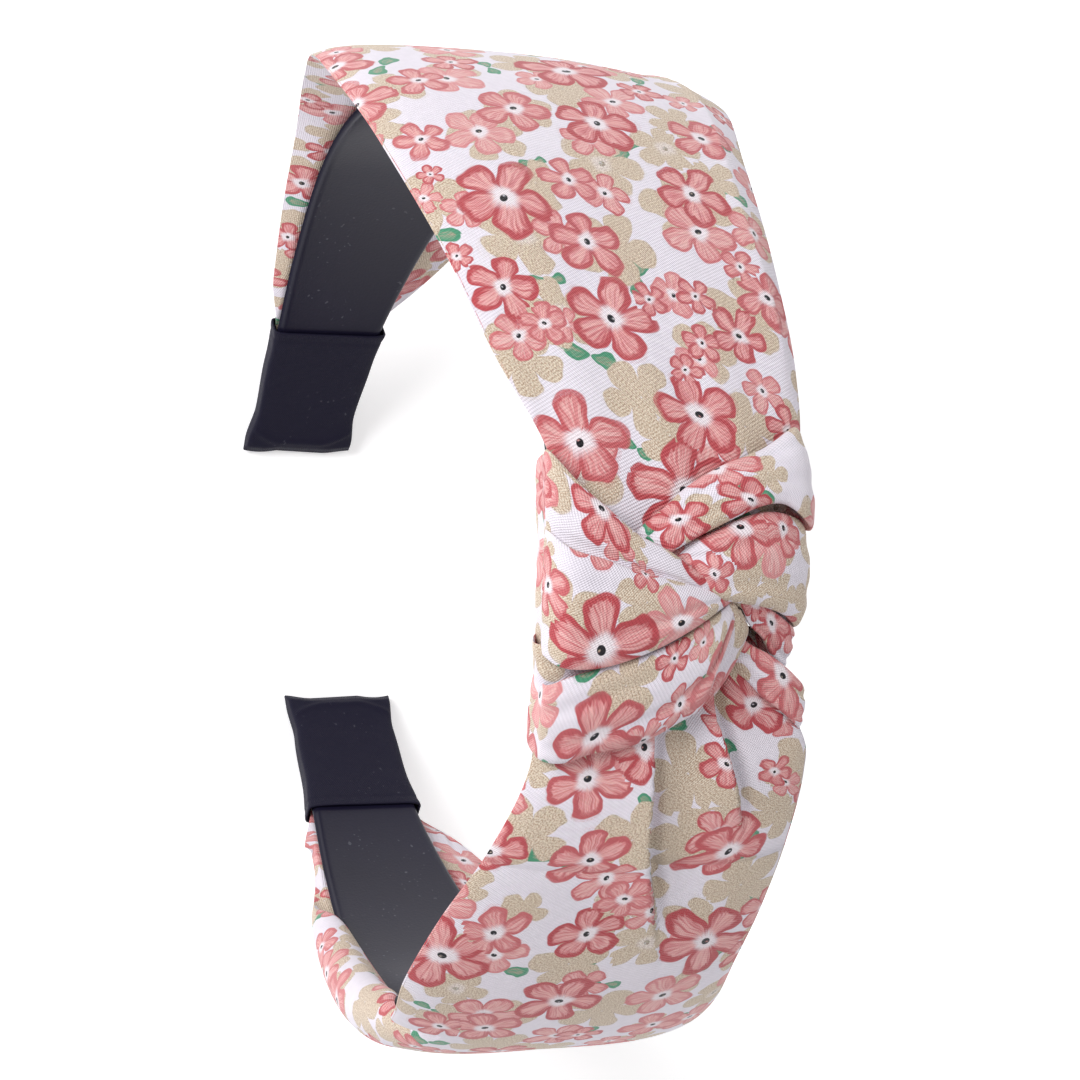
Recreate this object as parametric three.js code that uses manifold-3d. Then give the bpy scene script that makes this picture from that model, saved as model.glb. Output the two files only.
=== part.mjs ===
// A knotted headband: a springy C-shaped plastic hoop, a printed fabric tube tied over it with a knot near the
// crown, and a satin ribbon wrap over each tip. Millimetres, +Z up. The hoop stands on its two tips, X runs from
// ear to ear and -Y is the front edge.
//
// Every piece is first shaped flat, on the strip: x is the distance along the hoop from the crown, y is across it
// and z is the height above the hoop's inner face. bend() then lays the strip round the hoop.
import * as THREE from 'three';
import { mergeVertices } from 'three/addons/utils/BufferGeometryUtils.js';
import Module from 'manifold-3d';

const wasm = await Module();
wasm.setup();

// The hoop's inner face, from the crown to a tip: three arcs that run smoothly into each other.
const CROWN_RADIUS = 70;
const CROWN_ARC = 54;
const SHOULDER_RADIUS = 60;
const SHOULDER_ARC = 73;
const ARM_RADIUS = 118;
const ARM_ARC = 63;
const TIP_DISTANCE = CROWN_ARC + SHOULDER_ARC + ARM_ARC;
const HOOP_ARCS = [[CROWN_RADIUS, CROWN_ARC], [SHOULDER_RADIUS, SHOULDER_ARC], [ARM_RADIUS, Infinity]];
// The sprung hoop is a little out of true: one tip sits this far forward of the crown, the other as far back.
const TIP_LEAN = 3.5;

const HOOP_THICKNESS = 1.8;
// Its width: [distance from the crown, width].
const HOOP_WIDTHS = [[0, 27], [40, 27.4], [100, 29], [125, 26.4], [150, 21.6], [167, 18.4], [190, 16.2]];
const HOOP_WIDEST = Math.max(...HOOP_WIDTHS.map((row) => row[1]));
const HOOP_EDGE_RADIUS = 0.8;

// Clearance between two pieces that touch on the real headband.
const GAP = 0.3;

const WRAP_LENGTH = 24;
const WRAP_WALL = 0.5;
const WRAP_MOUTH = TIP_DISTANCE - WRAP_LENGTH;

// The flattened fabric tube: how thick it is at its folded edges, where it ends and how far it tucks into a wrap.
const COVER_EDGE_THICKNESS = 1.6;
const COVER_END_THICKNESS = 1.2;
const COVER_TUCK = 4;
// Its shape as it runs out from under the knot: [distance, front edge, back edge, thickness along the middle]. The
// far rows count from the mouth of the wrap, where the tube has narrowed enough to go in.
const LEFT_OUTLINE = [
  [-8, -12.5, 21, 4], [10, -14.6, 21.5, 4.4], [22, -20, 22.3, 4.8], [36, -24.4, 22.8, 5], [54, -28, 25.6, 5.4],
  [76, -29, 31.2, 5.8], [92, -27, 32.6, 6],
  [WRAP_MOUTH - 46, -20.2, 27, 5.6], [WRAP_MOUTH - 18, -13.6, 19, 4.6], [WRAP_MOUTH - 8, -11.8, 14.4, 3.2],
  [WRAP_MOUTH, -9, 9, COVER_END_THICKNESS], [WRAP_MOUTH + 6, -8.4, 8.4, COVER_END_THICKNESS],
];
const RIGHT_OUTLINE = [
  [8, -11, 22, 4], [27, -12.3, 23.5, 4.6], [41, -17.8, 24.5, 5], [54, -22.2, 24.3, 5.4], [66, -23.8, 25, 5.6],
  [78, -21, 27, 5.8], [91, -16.4, 29, 6], [104, -13, 29.4, 5.8],
  [WRAP_MOUTH - 46, -12, 28, 5.4], [WRAP_MOUTH - 29, -12.4, 25, 5], [WRAP_MOUTH - 14, -12.8, 21.5, 4.4],
  [WRAP_MOUTH - 6, -11.6, 16, 3.2], [WRAP_MOUTH, -9, 9, COVER_END_THICKNESS],
  [WRAP_MOUTH + 6, -8.4, 8.4, COVER_END_THICKNESS],
];

// The knot: a crowned lump across the hoop, cut into the strands that cross in it.
const KNOT_START = -12;
const KNOT_END = 28.5;
const KNOT_FRONT = -16.7;
const KNOT_BACK = 21.6;
// How far its sides draw in from there to the underside of the hoop.
const KNOT_DRAW_IN = 1.6;
const KNOT_TOP = 13;
const KNOT_EDGE_TOP = 6;
const KNOT_SKIRT = 2.2;
const UNDER_PASS_THICKNESS = 1.5;
const UNDER_PASS_START = -2;
const UNDER_PASS_END = 18;

// The folds between the strands, seen from above the knot as [distance along, across].
const EYE = [8.4, 8.2];
const UPPER_V = [1.1, -5.8];
const CROSSING = [3.5, -0.9];
const LOWER_V = [14.6, 9.8];
const FOLDS = {
  frontUpper: [[-8.5, -19.6], [-4.2, -13.6], UPPER_V],
  frontMiddle: [[1.2, -19.6], [6.5, 0.4], EYE],
  frontLower: [[14.4, -19.6], [16.2, -13.9], [14, -3.4], EYE],
  frontEnd: [[27.6, -19.6], [26.3, -10.3], [22.9, 1.4], LOWER_V],
  backUpper: [[-14.4, 23], [-8.3, 12.3], [-4, 1.4], UPPER_V],
  backCross: [[-2.6, 23], [-2, 14.6], CROSSING],
  backMiddle: [[12.6, 23], [7.4, 11], EYE],
  backLower: [[18.4, 23], [13.6, 11.6], EYE],
  backEnd: [[25.6, 23], [20.4, 16.6], LOWER_V],
  spineUpper: [UPPER_V, CROSSING, EYE],
  spineLower: [LOWER_V, EYE],
};
// How far past both edges of the strip the cuts for the knot reach.
const CUT_REACH = 40;

const BLACK_PLASTIC = { color: '#15161b', roughness: 0.42, metalness: 0 };
const BLACK_RIBBON = { color: '#101118', roughness: 0.55, metalness: 0 };
const PRINTED_FABRIC = { color: '#e3c3c4', roughness: 0.75, metalness: 0 };

// A value that changes smoothly along the hoop, from rows of [distance, value, value ...].
function smoothRows(rows) {
  const distances = rows.map((row) => row[0]);
  const values = rows.flatMap((row) => row.slice(1));
  const size = rows[0].length - 1;
  const interpolant = new THREE.CubicInterpolant(distances, values, size, new Float64Array(size));
  return (distance) => interpolant.evaluate(THREE.MathUtils.clamp(distance, distances[0], distances.at(-1)));
}

const widthRows = smoothRows(HOOP_WIDTHS);

function hoopWidth(distance) {
  return widthRows(Math.abs(distance))[0];
}

// The place, direction and lean of the hoop's inner face at a distance from the crown, either side of it.
function hoopAt(distance) {
  const side = Math.sign(distance) || 1;
  let left = Math.abs(distance);
  let angle = 0;
  let x = 0;
  let z = 0;
  for (const [radius, length] of HOOP_ARCS) {
    const turn = Math.min(left, length) / radius;
    x += radius * (Math.sin(angle + turn) - Math.sin(angle));
    z += radius * (Math.cos(angle + turn) - Math.cos(angle));
    angle += turn;
    left -= turn * radius;
    if (left <= 0) break;
  }
  const lean = side * TIP_LEAN * (distance / TIP_DISTANCE) ** 2;
  return { x: side * x, z, angle: side * angle, lean };
}

// Lays a point of the flat strip round the hoop.
function onHoop(distance, across, height) {
  const { x, z, angle, lean } = hoopAt(distance);
  return new THREE.Vector3(x + height * Math.sin(angle), across + lean, z + height * Math.cos(angle));
}

// Moves every vertex of a geometry by a function of its x, y and z that gives the new place.
function reshape(geometry, place) {
  const position = geometry.attributes.position;
  for (let i = 0; i < position.count; i += 1) {
    const moved = place(position.getX(i), position.getY(i), position.getZ(i));
    position.setXYZ(i, moved.x, moved.y, moved.z);
  }
  return geometry;
}

function bend(geometry) {
  return reshape(geometry, onHoop);
}

function solid(geometry) {
  const bare = geometry.clone();
  bare.deleteAttribute('normal');
  bare.deleteAttribute('uv');
  const merged = mergeVertices(bare, 1e-5);
  const vertProperties = new Float32Array(merged.attributes.position.array);
  const triVerts = new Uint32Array(merged.index.array);
  return new wasm.Manifold(new wasm.Mesh({ numProp: 3, vertProperties, triVerts }));
}

function geometryOf(manifold) {
  const { vertProperties, triVerts } = manifold.getMesh();
  const geometry = new THREE.BufferGeometry();
  geometry.setAttribute('position', new THREE.BufferAttribute(vertProperties, 3));
  geometry.setIndex(new THREE.BufferAttribute(triVerts, 1));
  const facets = geometry.toNonIndexed();
  facets.computeVertexNormals();
  return facets;
}

function piece(name, geometry, material) {
  const mesh = new THREE.Mesh(geometry, new THREE.MeshStandardMaterial(material));
  mesh.name = name;
  return mesh;
}

// A bar with rounded edges, one wide and one high, drawn across the strip.
function barProfile(width, thickness, radius) {
  const profile = new THREE.Shape();
  const side = width / 2 - radius;
  profile.absarc(side, radius, radius, -Math.PI / 2, 0);
  profile.absarc(side, thickness - radius, radius, 0, Math.PI / 2);
  profile.absarc(-side, thickness - radius, radius, Math.PI / 2, Math.PI);
  profile.absarc(-side, radius, radius, Math.PI, Math.PI * 1.5);
  return profile;
}

// The one-piece moulded hoop: its profile is drawn at the widest place and narrows from there.
function hoop() {
  const profile = barProfile(HOOP_WIDEST, HOOP_THICKNESS, HOOP_EDGE_RADIUS);
  const bar = new THREE.ExtrudeGeometry(profile, {
    depth: 2 * TIP_DISTANCE, steps: 84, bevelEnabled: false, curveSegments: 3,
  });
  return reshape(bar, (across, height, along) => {
    const distance = along - TIP_DISTANCE;
    return onHoop(distance, across * hoopWidth(distance) / HOOP_WIDEST, height);
  });
}

// A block round the end of one arm, wider than the hoop by a margin on each edge. Its roof slopes from the
// first height at its start to the second at its end.
function sleeveBlock(side, start, end, margin, floor, roofs) {
  const block = new THREE.BoxGeometry(1, 1, 1, 8, 2, 1);
  return reshape(block, (along, across, up) => {
    const share = along * side + 0.5;
    const distance = THREE.MathUtils.lerp(start, end, share);
    const width = hoopWidth(distance) + 2 * margin;
    const roof = THREE.MathUtils.lerp(...roofs, share);
    return onHoop(side * distance, across * width, THREE.MathUtils.lerp(floor, roof, up + 0.5));
  });
}

// A ribbon wrap: a closed-ended pocket over the tip of the hoop and the end of the fabric tube. It thins towards
// the tip, past the end of the tube.
function tipWrap(side) {
  const tip = TIP_DISTANCE + GAP;
  const wall = WRAP_WALL;
  const mouthRoof = HOOP_THICKNESS + COVER_END_THICKNESS + 2.5 * GAP;
  const tipRoof = HOOP_THICKNESS + GAP;
  const outer = sleeveBlock(side, WRAP_MOUTH, tip + wall, GAP + wall, -GAP - wall, [mouthRoof + wall, tipRoof + wall]);
  const slope = (mouthRoof - tipRoof) / (tip + wall - WRAP_MOUTH);
  const overrun = 5;
  const pocket = sleeveBlock(
    side, WRAP_MOUTH - overrun, tip, GAP, -GAP, [mouthRoof + slope * overrun, tipRoof + slope * wall],
  );
  return geometryOf(solid(outer).subtract(solid(pocket)));
}

// One arm of the flattened tube, crowned along its middle and flat where it tucks under the wrap.
function coverArm(side, outline) {
  const shapeAt = smoothRows(outline);
  const start = outline[0][0];
  const end = WRAP_MOUTH + COVER_TUCK;
  const plate = new THREE.BoxGeometry(1, 1, 1, 44, 8, 1);
  return reshape(plate, (along, across, up) => {
    const distance = THREE.MathUtils.lerp(start, end, along * side + 0.5);
    const [front, back, middle] = shapeAt(distance);
    const crown = 1 - (2 * across) ** 4;
    const thickness = THREE.MathUtils.lerp(Math.min(COVER_EDGE_THICKNESS, middle), middle, crown);
    const y = THREE.MathUtils.lerp(front, back, across + 0.5);
    return onHoop(side * distance, y, HOOP_THICKNESS + GAP + thickness * (up + 0.5));
  });
}

// The whole knot as one crowned lump that reaches down past both edges of the hoop.
function knotLump() {
  const lump = new THREE.BoxGeometry(1, 1, 1, 14, 14, 1);
  const bent = reshape(lump, (along, across, up) => {
    const dome = Math.sqrt((1 - (2 * along) ** 4) * (1 - (2 * across) ** 4));
    const top = THREE.MathUtils.lerp(KNOT_EDGE_TOP, KNOT_TOP, dome);
    const drawIn = KNOT_DRAW_IN * (0.5 - up);
    return onHoop(
      THREE.MathUtils.lerp(KNOT_START, KNOT_END, along + 0.5),
      THREE.MathUtils.lerp(KNOT_FRONT + drawIn, KNOT_BACK - drawIn, across + 0.5),
      THREE.MathUtils.lerp(-KNOT_SKIRT, top, up + 0.5),
    );
  });
  return solid(bent).subtract(hoopChannel());
}

// The room that the knot leaves for the hoop, and below it for the strand that passes underneath.
function hoopChannel() {
  const length = KNOT_END - KNOT_START + 20;
  const width = hoopWidth(KNOT_END) + 2 * GAP;
  const depth = 10;
  const height = HOOP_THICKNESS + GAP + depth;
  const channel = new THREE.BoxGeometry(length, width, height, 16, 1, 1);
  channel.translate((KNOT_START + KNOT_END) / 2, 0, height / 2 - depth);
  return solid(bend(channel));
}

// A thin upright wall along one fold, which leaves the clearance between two strands.
function foldWall(points) {
  let wall = null;
  for (let i = 1; i < points.length; i += 1) {
    const from = new THREE.Vector2(...points[i - 1]);
    const to = new THREE.Vector2(...points[i]);
    const slab = new THREE.BoxGeometry(from.distanceTo(to) + GAP, GAP, 60);
    slab.rotateZ(Math.atan2(to.y - from.y, to.x - from.x));
    slab.translate((from.x + to.x) / 2, (from.y + to.y) / 2, 0);
    wall = wall ? wall.add(solid(slab)) : solid(slab);
  }
  return wall;
}

// An upright block over an area of the knot seen from above.
function prism(points) {
  const shape = new THREE.Shape(points.map(([x, y]) => new THREE.Vector2(x, y)));
  const block = new THREE.ExtrudeGeometry(shape, { depth: 60, bevelEnabled: false });
  block.translate(0, 0, -30);
  return solid(block);
}

// The area between two folds that both run inwards from the same side of the knot.
function between(first, second) {
  return [...first, ...[...second].reverse()];
}

const STRAND_AREAS = {
  knot_front_upper: between(FOLDS.frontUpper, [...FOLDS.frontMiddle, CROSSING]),
  knot_front_middle: between(FOLDS.frontMiddle, FOLDS.frontLower.slice(0, -1)),
  knot_front_lower: between(FOLDS.frontLower, FOLDS.frontEnd),
  knot_back_upper: between(FOLDS.backUpper, FOLDS.backCross),
  knot_back_middle: between(FOLDS.backCross, FOLDS.backMiddle),
  knot_back_twist: between(FOLDS.backMiddle, FOLDS.backLower.slice(0, -1)),
  knot_back_lower: between(FOLDS.backLower, FOLDS.backEnd),
};

function knotStrands() {
  let lump = knotLump();
  for (const fold of Object.values(FOLDS)) lump = lump.subtract(foldWall(fold));
  return Object.entries(STRAND_AREAS).map(([name, area]) => {
    return piece(name, geometryOf(lump.intersect(prism(area))), PRINTED_FABRIC);
  });
}

// The whole area of the knot with its clearance, which the two arms of the tube run up to.
function knotClearance() {
  const outline = [
    ...[...FOLDS.backUpper].reverse(), [FOLDS.backUpper[0][0], CUT_REACH],
    [FOLDS.backEnd[0][0], CUT_REACH], ...FOLDS.backEnd,
    ...[...FOLDS.frontEnd].reverse().slice(1), [FOLDS.frontEnd[0][0], -CUT_REACH],
    [FOLDS.frontUpper[0][0], -CUT_REACH], ...FOLDS.frontUpper.slice(0, -1),
  ];
  let area = prism(outline);
  for (const name of ['frontUpper', 'backUpper', 'backEnd', 'frontEnd']) area = area.add(foldWall(FOLDS[name]));
  return area;
}

function coverPiece(side, outline) {
  return geometryOf(solid(coverArm(side, outline)).subtract(knotClearance()));
}

// The strand of the knot that passes under the hoop.
function underPass() {
  const width = hoopWidth(0);
  const strand = new THREE.BoxGeometry(UNDER_PASS_END - UNDER_PASS_START, width, UNDER_PASS_THICKNESS, 8, 2, 1);
  strand.translate((UNDER_PASS_START + UNDER_PASS_END) / 2, 0, -GAP - UNDER_PASS_THICKNESS / 2);
  return bend(strand);
}

const headband = new THREE.Group();
headband.add(
  piece('hoop', hoop(), BLACK_PLASTIC),
  piece('tip_wrap_left', tipWrap(-1), BLACK_RIBBON),
  piece('tip_wrap_right', tipWrap(1), BLACK_RIBBON),
  piece('cover_left', coverPiece(-1, LEFT_OUTLINE), PRINTED_FABRIC),
  piece('cover_right', coverPiece(1, RIGHT_OUTLINE), PRINTED_FABRIC),
  ...knotStrands(),
  piece('knot_under_pass', underPass(), PRINTED_FABRIC),
);

// The origin is at the middle of the footprint, on the surface that the tips stand on.
const box = new THREE.Box3().setFromObject(headband);
const centre = box.getCenter(new THREE.Vector3());
headband.position.set(-centre.x, -centre.y, -box.min.z);

export default headband;
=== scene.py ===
# %% [markdown]
# # A knotted headband
#
# A springy C of black plastic goes round the head from ear to ear. A tube of flower-printed satin
# is pulled over it, tied in a flat knot near the crown, and held at each tip by a black ribbon
# wrap. Every piece here is a surface worked out on a grid with numpy, laid round the hoop by one
# function, and finished with its own cloth, ribbon or plastic.

import bpy
import numpy as np
from mathutils import Matrix, Vector


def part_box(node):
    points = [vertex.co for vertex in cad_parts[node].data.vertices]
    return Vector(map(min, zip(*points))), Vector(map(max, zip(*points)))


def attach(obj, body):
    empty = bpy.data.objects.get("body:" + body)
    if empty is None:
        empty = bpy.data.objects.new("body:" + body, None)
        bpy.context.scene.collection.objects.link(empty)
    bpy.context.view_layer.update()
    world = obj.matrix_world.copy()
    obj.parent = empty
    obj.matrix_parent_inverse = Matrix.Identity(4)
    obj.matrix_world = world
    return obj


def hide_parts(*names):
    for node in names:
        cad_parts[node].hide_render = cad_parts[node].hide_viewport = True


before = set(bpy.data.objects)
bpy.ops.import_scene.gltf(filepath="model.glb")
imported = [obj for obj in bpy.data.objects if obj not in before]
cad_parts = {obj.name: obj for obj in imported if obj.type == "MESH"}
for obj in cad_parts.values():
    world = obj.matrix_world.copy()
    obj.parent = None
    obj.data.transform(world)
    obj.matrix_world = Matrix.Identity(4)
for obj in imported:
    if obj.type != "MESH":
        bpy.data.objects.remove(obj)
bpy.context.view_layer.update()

print("nodes to stand for:", ", ".join(sorted(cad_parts)))

# %% [markdown]
# ## The strip and the hoop
#
# A headband is easiest to think of as a flat strip that is later bent. A point of the strip has a
# distance along the hoop from the crown, a place across it, and a height above the hoop's inner
# face. The hoop's inner face is three arcs that run smoothly into each other, so bending the strip
# is one formula for every piece.

# %% Lay the strip round the hoop
ARCS = ((70.0, 54.0), (60.0, 73.0), (118.0, 63.0))
TIP_DISTANCE = sum(length for _, length in ARCS)
TIP_LEAN = 3.5
HOOP_THICKNESS = 1.8
MM = 0.001

hoop_low, hoop_high = (np.array(corner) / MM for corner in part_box("hoop"))
CROWN = np.array([
    (hoop_low[0] + hoop_high[0]) / 2,
    (hoop_low[1] + hoop_high[1]) / 2,
    hoop_high[2] - HOOP_THICKNESS,
])


def round_hoop(strip):
    """Places strip points (along, across, height) in the room, in mm.

    Along each arc the place moves by radius times the change of (sine, cosine) of the turn so far, and
    the height points away from the arc's centre. Across also gets the lean of the sprung hoop, which
    grows with the square of the distance along.
    """
    along, across, height = np.moveaxis(np.asarray(strip, float), -1, 0)
    side = np.where(along < 0, -1.0, 1.0)
    left = np.abs(along)
    turn = np.zeros_like(left)
    x = np.zeros_like(left)
    z = np.zeros_like(left)
    for index, (radius, length) in enumerate(ARCS):
        used = left if index == len(ARCS) - 1 else np.minimum(left, length)
        after = turn + used / radius
        x += radius * (np.sin(after) - np.sin(turn))
        z += radius * (np.cos(after) - np.cos(turn))
        turn = after
        left = left - used
    lean = side * TIP_LEAN * (along / TIP_DISTANCE) ** 2
    x = side * (x + height * np.sin(turn))
    z = z + height * np.cos(turn)
    return np.stack([x, across + lean, z], axis=-1) + CROWN


print("crown of the inner face at", np.round(CROWN, 2), "mm")

# %% [markdown]
# ## Camera
#
# The headband is seen from high in front of its left edge, close enough for the far tip to look smaller. A
# camera is a place, a point to look at and a small roll.

# %% Place the camera
CAMERA_AT = np.array([20.6142, -150.6382, 326.5808])
CAMERA_AIM = np.array([-2.3804, 14.9188, -70.0])
CAMERA_ROLL = -0.0143
CAMERA_LENS = 91.7
CAMERA_SENSOR = 36.0
NEAREST_SEEN = 0.01


def unit(vector):
    """The vector divided by its length."""
    return vector / np.linalg.norm(vector, axis=-1, keepdims=True)


def make_camera():
    """Three unit vectors turn the camera: forward to the aim, and right and up turned by the roll."""
    forward = unit(CAMERA_AIM - CAMERA_AT)
    right = unit(np.cross(forward, (-1.0, 0.0, 0.0)))
    above = np.cross(right, forward)
    cosine, sine = np.cos(CAMERA_ROLL), np.sin(CAMERA_ROLL)
    axes = np.stack([cosine * right + sine * above, cosine * above - sine * right, -forward], axis=1)
    data = bpy.data.cameras.new("headband_camera")
    data.lens = CAMERA_LENS
    data.sensor_width = CAMERA_SENSOR
    data.clip_start = NEAREST_SEEN
    camera = bpy.data.objects.new("headband_camera", data)
    place = Matrix.Translation(Vector((CAMERA_AT + CROWN) * MM))
    camera.matrix_world = place @ Matrix(axes.tolist()).to_4x4()
    bpy.context.scene.collection.objects.link(camera)
    bpy.context.scene.camera = camera
    return camera


print("camera at", np.round(make_camera().location, 4))

# %% [markdown]
# ## Smooth rows and fades
#
# A headband has hardly a straight line in it. A few listed rows say how wide or how high a piece is at some
# places, and a smooth curve through them fills in the rest, as a pattern cutter does with a flexible curve. A
# fade is a soft step, for a flare or a crease that starts and ends gently.

# %% Draw smooth rows and fades


def smooth_rows(rows, at):
    """A Hermite curve through rows of [position, values ...]; each slope comes from the rows beside it."""
    rows = np.asarray(rows, float)
    where, values = rows[:, 0], rows[:, 1:]
    slopes = np.gradient(values, where, axis=0)
    at = np.clip(np.asarray(at, float), where[0], where[-1])
    low = np.clip(np.searchsorted(where, at) - 1, 0, len(where) - 2)
    gap = (where[low + 1] - where[low])[..., None]
    share = (at - where[low])[..., None] / gap
    square, cube = share**2, share**3
    ends = (2 * cube - 3 * square + 1) * values[low] + (3 * square - 2 * cube) * values[low + 1]
    return ends + gap * ((cube - 2 * square + share) * slopes[low] + (cube - square) * slopes[low + 1])


def fade(value, start, end):
    """0 before start and 1 after end, or the other way round, with a smooth S between them."""
    share = np.clip((value - start) / (end - start), 0, 1)
    return share * share * (3 - 2 * share)


print("a fade by quarters:", fade(np.linspace(0, 1, 5), 0, 1).round(2).tolist())

# %% [markdown]
# ## Skins for rings
#
# Hoop, ribbon and cloth are all closed rings carried along a path, so one helper skins a run of
# rings with quads. It remembers where each quad's corners lie on the flat cloth, because the print
# follows the cloth and not the room. A bevelled curve could make such skins too, but it would lose
# those places.

# %% Skin rings with quads


def cloth_lengths(rings, top, hidden=None):
    """Where each ring point lies on the flat cloth: its length along the top line, and round the ring.

    Cloth that a pleat hides is added to the length round the ring, so that the print breaks there.
    """
    along = np.concatenate([[0], np.cumsum(np.linalg.norm(np.diff(rings[:, top], axis=0), axis=1))])
    closed = np.concatenate([rings, rings[:, :1]], axis=1)
    round_it = np.cumsum(np.linalg.norm(np.diff(closed, axis=1), axis=2), axis=1)
    round_it = np.concatenate([np.zeros((len(rings), 1)), round_it], axis=1)
    round_it = round_it - round_it[:, top:top + 1]
    if hidden is not None:
        round_it = round_it + np.concatenate([hidden, hidden[:, :1]], axis=1)
    return np.stack([np.broadcast_to(along[:, None], round_it.shape), round_it], axis=-1)


def skin(name, rings, top=0, caps=(), hidden=None):
    """Quads from each ring to the next. A capped end joins the ring's first half to its second, pair by pair.

    Returns the object and the flat-cloth place of every face corner, in mm.
    """
    rows, columns = rings.shape[:2]
    cloth = cloth_lengths(rings, top, hidden)
    grids = np.meshgrid(np.arange(rows - 1), np.arange(columns), indexing="ij")
    row, column = (grid.ravel() for grid in grids)
    corners = [(row, column), (row, column + 1), (row + 1, column + 1), (row + 1, column)]
    pair = np.arange(columns // 2 - 1)
    for end in caps:
        edge = np.full(len(pair), 0 if end == "start" else rows - 1)
        loop = [pair, pair + 1, columns - 2 - pair, columns - 1 - pair]
        if end == "start":
            loop = [loop[1], loop[0], loop[3], loop[2]]
        corners = [(np.append(a, edge), np.append(b, c)) for (a, b), c in zip(corners, loop)]
    faces = np.stack([a * columns + b % columns for a, b in corners], axis=1)
    flat = np.stack([cloth[a, b] for a, b in corners], axis=1)
    points = rings.reshape(-1, 3) * MM
    middle = points - points.mean(axis=0)
    first, second, third, fourth = (middle[faces[:, k]] for k in range(4))
    volume = np.sum(first * np.cross(second, third)) + np.sum(first * np.cross(third, fourth))
    if volume < 0:
        faces, flat = faces[:, ::-1], flat[:, ::-1]
    mesh = bpy.data.meshes.new(name)
    mesh.from_pydata(points.tolist(), [], faces.tolist())
    mesh.polygons.foreach_set("use_smooth", np.ones(len(faces), bool))
    mesh.uv_layers.new(name="cloth").data.foreach_set("uv", (flat * MM).astype(np.float32).ravel())
    piece = bpy.data.objects.new(name, mesh)
    bpy.context.scene.collection.objects.link(piece)
    return piece, flat


def ring_angles(columns):
    """Angles from one side of a ring over its top to the other and back, half a step off the axes."""
    return np.pi - (np.arange(columns) + 0.5) * 2 * np.pi / columns


def thin_cloth(piece, thickness):
    """Gives a one-layer cloth surface its thickness, inwards from the side that shows."""
    wall = piece.modifiers.new("cloth thickness", "SOLIDIFY")
    wall.thickness = thickness * MM
    wall.offset = -1.0
    wall.use_even_offset = False


print("a ring of eight has its points at", np.degrees(ring_angles(8)).round(1).tolist(), "degrees")

# %% [markdown]
# ## Helpers for finishes
#
# A finish is a small graph of nodes. These helpers add one node and its wires in a line, so that
# each graph below reads as a list of steps. Colours are written as 0 to 255, as on a paint card,
# and turned into linear light.

# %% Node helpers


def paint(red, green, blue):
    """A paint-card colour as linear light, with full cover."""
    share = np.array([red, green, blue]) / 255
    linear = np.where(share <= 0.04045, share / 12.92, ((share + 0.055) / 1.055) ** 2.4)
    return (*linear.tolist(), 1.0)


def wire(tree, socket, value):
    """A wire where the value comes from another node, and a plain setting where it doesn't."""
    if isinstance(value, bpy.types.NodeSocket):
        tree.links.new(value, socket)
    else:
        socket.default_value = value


def node(tree, kind, inputs, **settings):
    """A new node with its settings made and its inputs wired or set."""
    made = tree.nodes.new(kind)
    for setting, value in settings.items():
        setattr(made, setting, value)
    for socket, value in inputs.items():
        wire(tree, made.inputs[socket], value)
    return made


def calc(tree, operation, *values):
    """One step of arithmetic."""
    return node(tree, "ShaderNodeMath", dict(enumerate(values)), operation=operation).outputs[0]


def ramp(tree, value, start, end, low=0.0, high=1.0):
    """Low up to start, high from end, and a smooth step between."""
    limits = {"Value": value, "From Min": start, "From Max": end, "To Min": low, "To Max": high}
    return node(tree, "ShaderNodeMapRange", limits, interpolation_type="SMOOTHSTEP").outputs["Result"]


def mix(tree, share, first, second):
    """The first colour where the share is 0, and the second where it is 1."""
    inputs = {0: share, 6: first, 7: second}
    return node(tree, "ShaderNodeMix", inputs, data_type="RGBA", clamp_factor=True).outputs[2]


def noise(tree, vector, scale, detail=2.0):
    """A cloudy value from 0 to 1, with the scale in clouds per unit."""
    inputs = {"Vector": vector, "Scale": scale, "Detail": detail}
    return node(tree, "ShaderNodeTexNoise", inputs).outputs["Fac"]


def group(name, takes, gives):
    """A node group with named sockets. Returns the tree and its input and output nodes."""
    tree = bpy.data.node_groups.new(name, "ShaderNodeTree")
    kinds = {"colour": "NodeSocketColor", "vector": "NodeSocketVector", "number": "NodeSocketFloat"}
    for label, kind in takes.items():
        tree.interface.new_socket(label, in_out="INPUT", socket_type=kinds[kind])
    for label, kind in gives.items():
        tree.interface.new_socket(label, in_out="OUTPUT", socket_type=kinds[kind])
    return tree, tree.nodes.new("NodeGroupInput").outputs, tree.nodes.new("NodeGroupOutput").inputs


def use(tree, made_group, inputs):
    """Places a node group in a tree and wires it up."""
    placed = tree.nodes.new("ShaderNodeGroup")
    placed.node_tree = made_group
    for socket, value in inputs.items():
        wire(tree, placed.inputs[socket], value)
    return placed.outputs


def finish(name):
    """An empty material and the tree and shader to build it with."""
    material = bpy.data.materials.new(name)
    material.use_nodes = True
    return material, material.node_tree, material.node_tree.nodes["Principled BSDF"].inputs


print("a half-way grey is", round(paint(128, 128, 128)[0], 3), "in linear light")

# %% [markdown]
# ## Weave
#
# Cloth and ribbon are both woven, so the weave is one group used by both. Two crossed sine waves at the
# thread pitch give the over-and-under relief, and a slow noise makes some threads a little prouder than
# others. The colour tint is darker in the hollows of the relief, which is painted shade, and the noise also
# varies the tone of the threads. An image of cloth could be tiled instead, but a formula stays sharp however
# near the camera comes.

# %% Build the weave


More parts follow.
